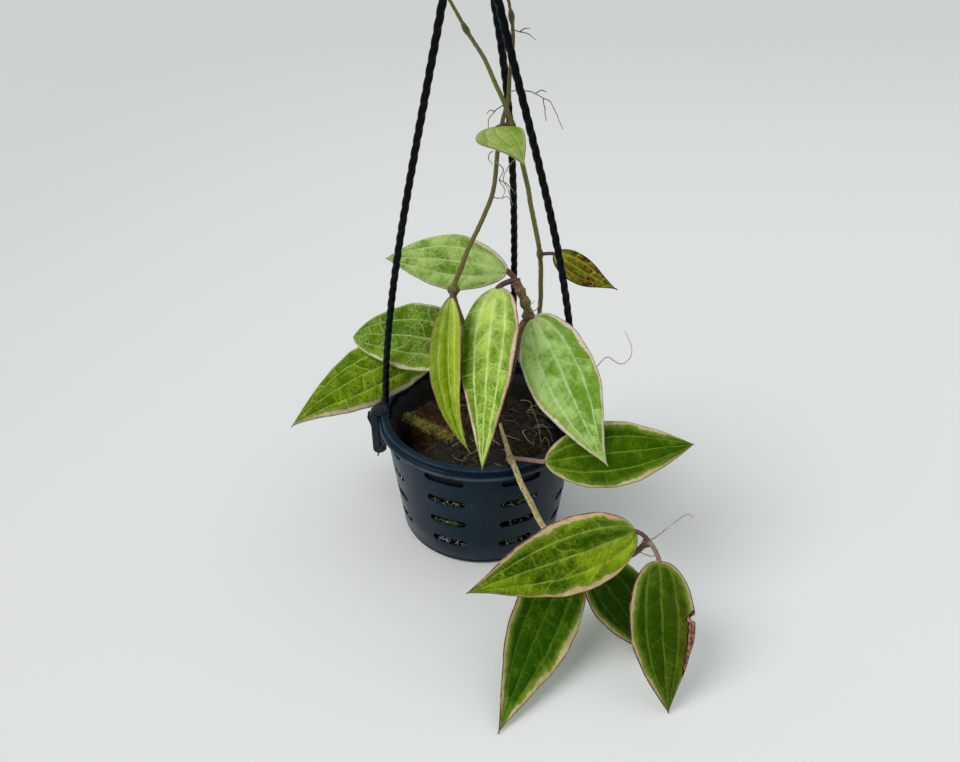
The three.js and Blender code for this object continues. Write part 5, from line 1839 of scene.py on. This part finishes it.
for seed, (name, leaf) in enumerate(LEAVES.items(), 1):
    look = LOOKS[name]
    grid, (line, out, up) = blade_grid(leaf, look, seed)
    across, lift = grid["reach"] * grid["u"], blade_lift(leaf, grid, seed)
    rings = line[:, None] + out[:, None] * across[..., None] + up[:, None] * lift[..., None]
    numbers = {key: on_rings(values, rings) for key, values in blade_numbers(look, grid).items()}
    make_piece(name + "_blade", skin(rings), blade_finish(name, look, seed), [name], numbers)

# %% [markdown]
# A petiole bends from its node on the stem into line with the blade. It is thickest at both ends,
# and its colour runs between the stem's bark and dull purple, as much as its dusk says.

# %% Petioles
PETIOLE_GIRTHS = {"main_stem": 1.75, "right_vine": 1.1, "left_vine": 1.3, "trailing_stem": 1.3}
PETIOLE_DUSK = {"leaf_front": 0.75, "leaf_upper_left": 0.35, "leaf_middle": 0.35, "leaf_young": 0.4}
PLAIN_DUSK = 0.1
PETIOLE_BEND = 0.6
PETIOLE_RINGS = 40
PETIOLE_SIDES = 16
PETIOLE_LOOKS = {
    "main_stem": ((66, 34, 36), (150, 112, 100), (104, 84, 52), 0.3),
    "right_vine": ((70, 34, 30), (130, 92, 66), (104, 90, 44), 0.3),
    "left_vine": ((84, 46, 42), (152, 112, 94), (112, 96, 56), 0.3),
    "trailing_stem": ((120, 84, 80), (200, 168, 160), (132, 110, 80), 0.3),
}
petiole_finishes = {
    stem: bark_finish(stem + " petiole", *look, 7.0 + number)
    for number, (stem, look) in enumerate(PETIOLE_LOOKS.items())
}


def petiole_shape(leaf, seed):
    """A Bezier from the node to just inside the blade, whose radius has a hump at each end."""
    corners, _ = blade_line(leaf)
    node = np.array(STEMS[leaf["stem"]]["points"][leaf["node"]], float)
    heading = unit(corners[1] - corners[0])
    end = corners[0] + heading * 0.9
    reach = np.linalg.norm(end - node) / 3
    leaving = node + unit(np.array(leaf["away"], float)) * reach
    t = np.linspace(0, 1, PETIOLE_RINGS)
    path = bezier(node, leaving, end - heading * reach * PETIOLE_BEND, end, t)
    girth = 0.86 + 0.35 * hump(t, 0.14) + 0.12 * hump(t - 0.93, 0.08)
    girth = PETIOLE_GIRTHS[leaf["stem"]] * girth * (1 - 0.35 * soft_step(t, 0.96, 1))
    angle = turns(PETIOLE_SIDES)
    rings = tube_rings(path, girth[:, None] * (1 + 0.04 * np.cos(2 * angle)))
    rings = roughened(rings, path, 0.05, 2.2, seed)
    return skin(rings), on_rings(grown_numbers(run_length(path)[:, None], angle), rings)


for seed, (name, leaf) in enumerate(LEAVES.items(), 61):
    stem = leaf["stem"]
    petiole, grown = petiole_shape(leaf, seed)
    numbers = {"grown": grown, "dusk": np.full(len(grown), PETIOLE_DUSK.get(name, PLAIN_DUSK))}
    make_piece(name + "_petiole", petiole, petiole_finishes[stem], [stem], numbers)

# %% [markdown]
# Hoyas put out thin, dry roots from their stems into the air. They are far too fine for CAD solids,
# so they are drawn here, each through a few points. The pale ones in the pot, medium_roots, lie
# over the mix.

# %% Aerial roots
ROOT_RADIUS = 0.27
AERIAL_ROOTS = {
    "aerial_roots_upper": {
        "slot": "olive", "tone": 0.25,
        "paths": [
            [(14, 1, 287), (17.5, 0, 286.5), (21.5, -1, 285.5), (25, -1, 283)],
            [(17.5, 0, 286.5), (20, -1, 288), (22, -1, 288)],
            [(13, 3, 259.5), (16, 2, 260.5), (19.5, 0, 261), (25.5, -2, 260), (29.5, -3, 258),
             (32.5, -3, 256.5), (35.5, -3, 251.5), (39, -4, 244)],
            [(29, -3, 258), (30, -3, 254), (31, -3, 247.5)],
            [(25.5, -2, 260), (28, -2, 261.5), (30.5, -2, 260.5)],
            [(12, 4, 253), (10, 2, 253.5), (6.5, 1, 251), (3.5, 0, 247.5), (3.5, 0, 243.5)],
            [(6.5, 1, 251), (4.5, 0, 252), (3, -1, 250.5)],
        ],
    },
    "aerial_roots_middle": {
        "slot": "brown", "tone": 0.4,
        "paths": [
            [(6, -4, 233.5), (4, -4, 232.5), (3.5, -4, 230), (5.5, -4, 227)],
            [(7.5, -3, 228), (11, -3, 224), (9, -3, 219), (12, -3, 214), (10.5, -3, 209)],
            [(18.5, -1, 231), (13.5, -1, 225), (11, -2, 219.5), (13.5, -3, 214), (16, -3, 206)],
            [(9, -3, 219), (13, -3, 217), (17, -3, 212)],
            [(5, -3, 211), (9, -3, 209.5), (13, -3, 210.5), (15.5, -3, 208)],
        ],
    },
    "main_stem_roots": {
        "slot": "wood", "tone": 0.6,
        "paths": [
            [(26, -4, 146), (29, -6, 147.5), (31, -6.5, 150.5), (31.5, -6.5, 153)],
            [(26, -4, 144), (30, -6.5, 144.5), (32.5, -7, 147), (33, -7, 149.5)],
            [(25.5, -4, 142), (29, -6.5, 141.5), (32.5, -7, 142.5)],
            [(24, -4, 150), (27.5, -6, 152), (29, -6, 154)],
            [(24, -4, 139), (21, -6, 137), (19.5, -6, 134), (20, -6, 131)],
        ],
    },
    "aerial_root_right": {
        "slot": "tan", "tone": 0.45,
        "paths": [
            [(27, -8, 106), (40, -13, 108), (52, -16, 111), (58, -17, 114),
             (64, -18, 119.5), (67, -18, 124), (69.5, -18, 125.5), (73.5, -18, 122.5), (77.5, -18, 121),
             (81.5, -18, 125), (82, -18, 130), (80, -18, 136), (77, -18, 141.5)],
        ],
    },
    "aerial_roots_front": {
        "slot": "tan", "tone": 0.4,
        "paths": [
            [(79.5, -100, 67), (84, -101, 69.5), (88, -101, 73.5), (94.5, -101, 81.5),
             (100, -101, 86.5), (103, -101, 84)],
            [(88, -103, 61), (84, -103, 60.5), (80, -103, 62.5), (76, -103, 62)],
        ],
    },
    "medium_roots": {
        "slot": "tan", "tone": 0.95, "radius": 0.19,
        "paths": [
            [(23, -3, 87), (29, -5, 87), (30.5, -7, 82.5), (34, -9, 73.5), (35, -12, 67.5), (36, -16, 62)],
            [(36, -16, 66), (38, -17, 70), (40, -18, 66), (41, -22, 60)],
            [(44, -20, 66), (46, -24, 62), (45, -26, 58), (41, -28, 56.5)],
            [(33, 0, 66), (37, -2, 68.5), (41, -5, 66), (43, -9, 61)],
            [(27, -4, 66), (25, -9, 68.5), (27, -14, 67), (31, -18, 65)],
        ],
    },
}
print("roots:", sum(len(spec["paths"]) for spec in AERIAL_ROOTS.values()))

# %% Tubes for the roots
ROOT_STEPS = 8
ROOT_SIDES = 6
ROOT_WANDER = 0.16


def root_shape(paths, radius, seed):
    """Thin tubes through the given points, thinner towards their ends and a little kinked."""
    parts = []
    for number, corners in enumerate(paths):
        path = wandering(through(corners, ROOT_STEPS), ROOT_WANDER, 4, seed + number)
        girth = radius * (1 - 0.45 * np.linspace(0, 1, len(path)) ** 2)
        parts.append(skin(round_tube(path, girth, ROOT_SIDES)))
    return joined(parts)


for seed, (name, spec) in enumerate(AERIAL_ROOTS.items(), 81):
    roots = root_shape(spec["paths"], spec.get("radius", ROOT_RADIUS), seed)
    tone = spec["tone"] + 0.15 * ripple(roots[0], 6, seed)
    make_piece(name, roots, fibres["aerial root"], numbers={"tone": tone})
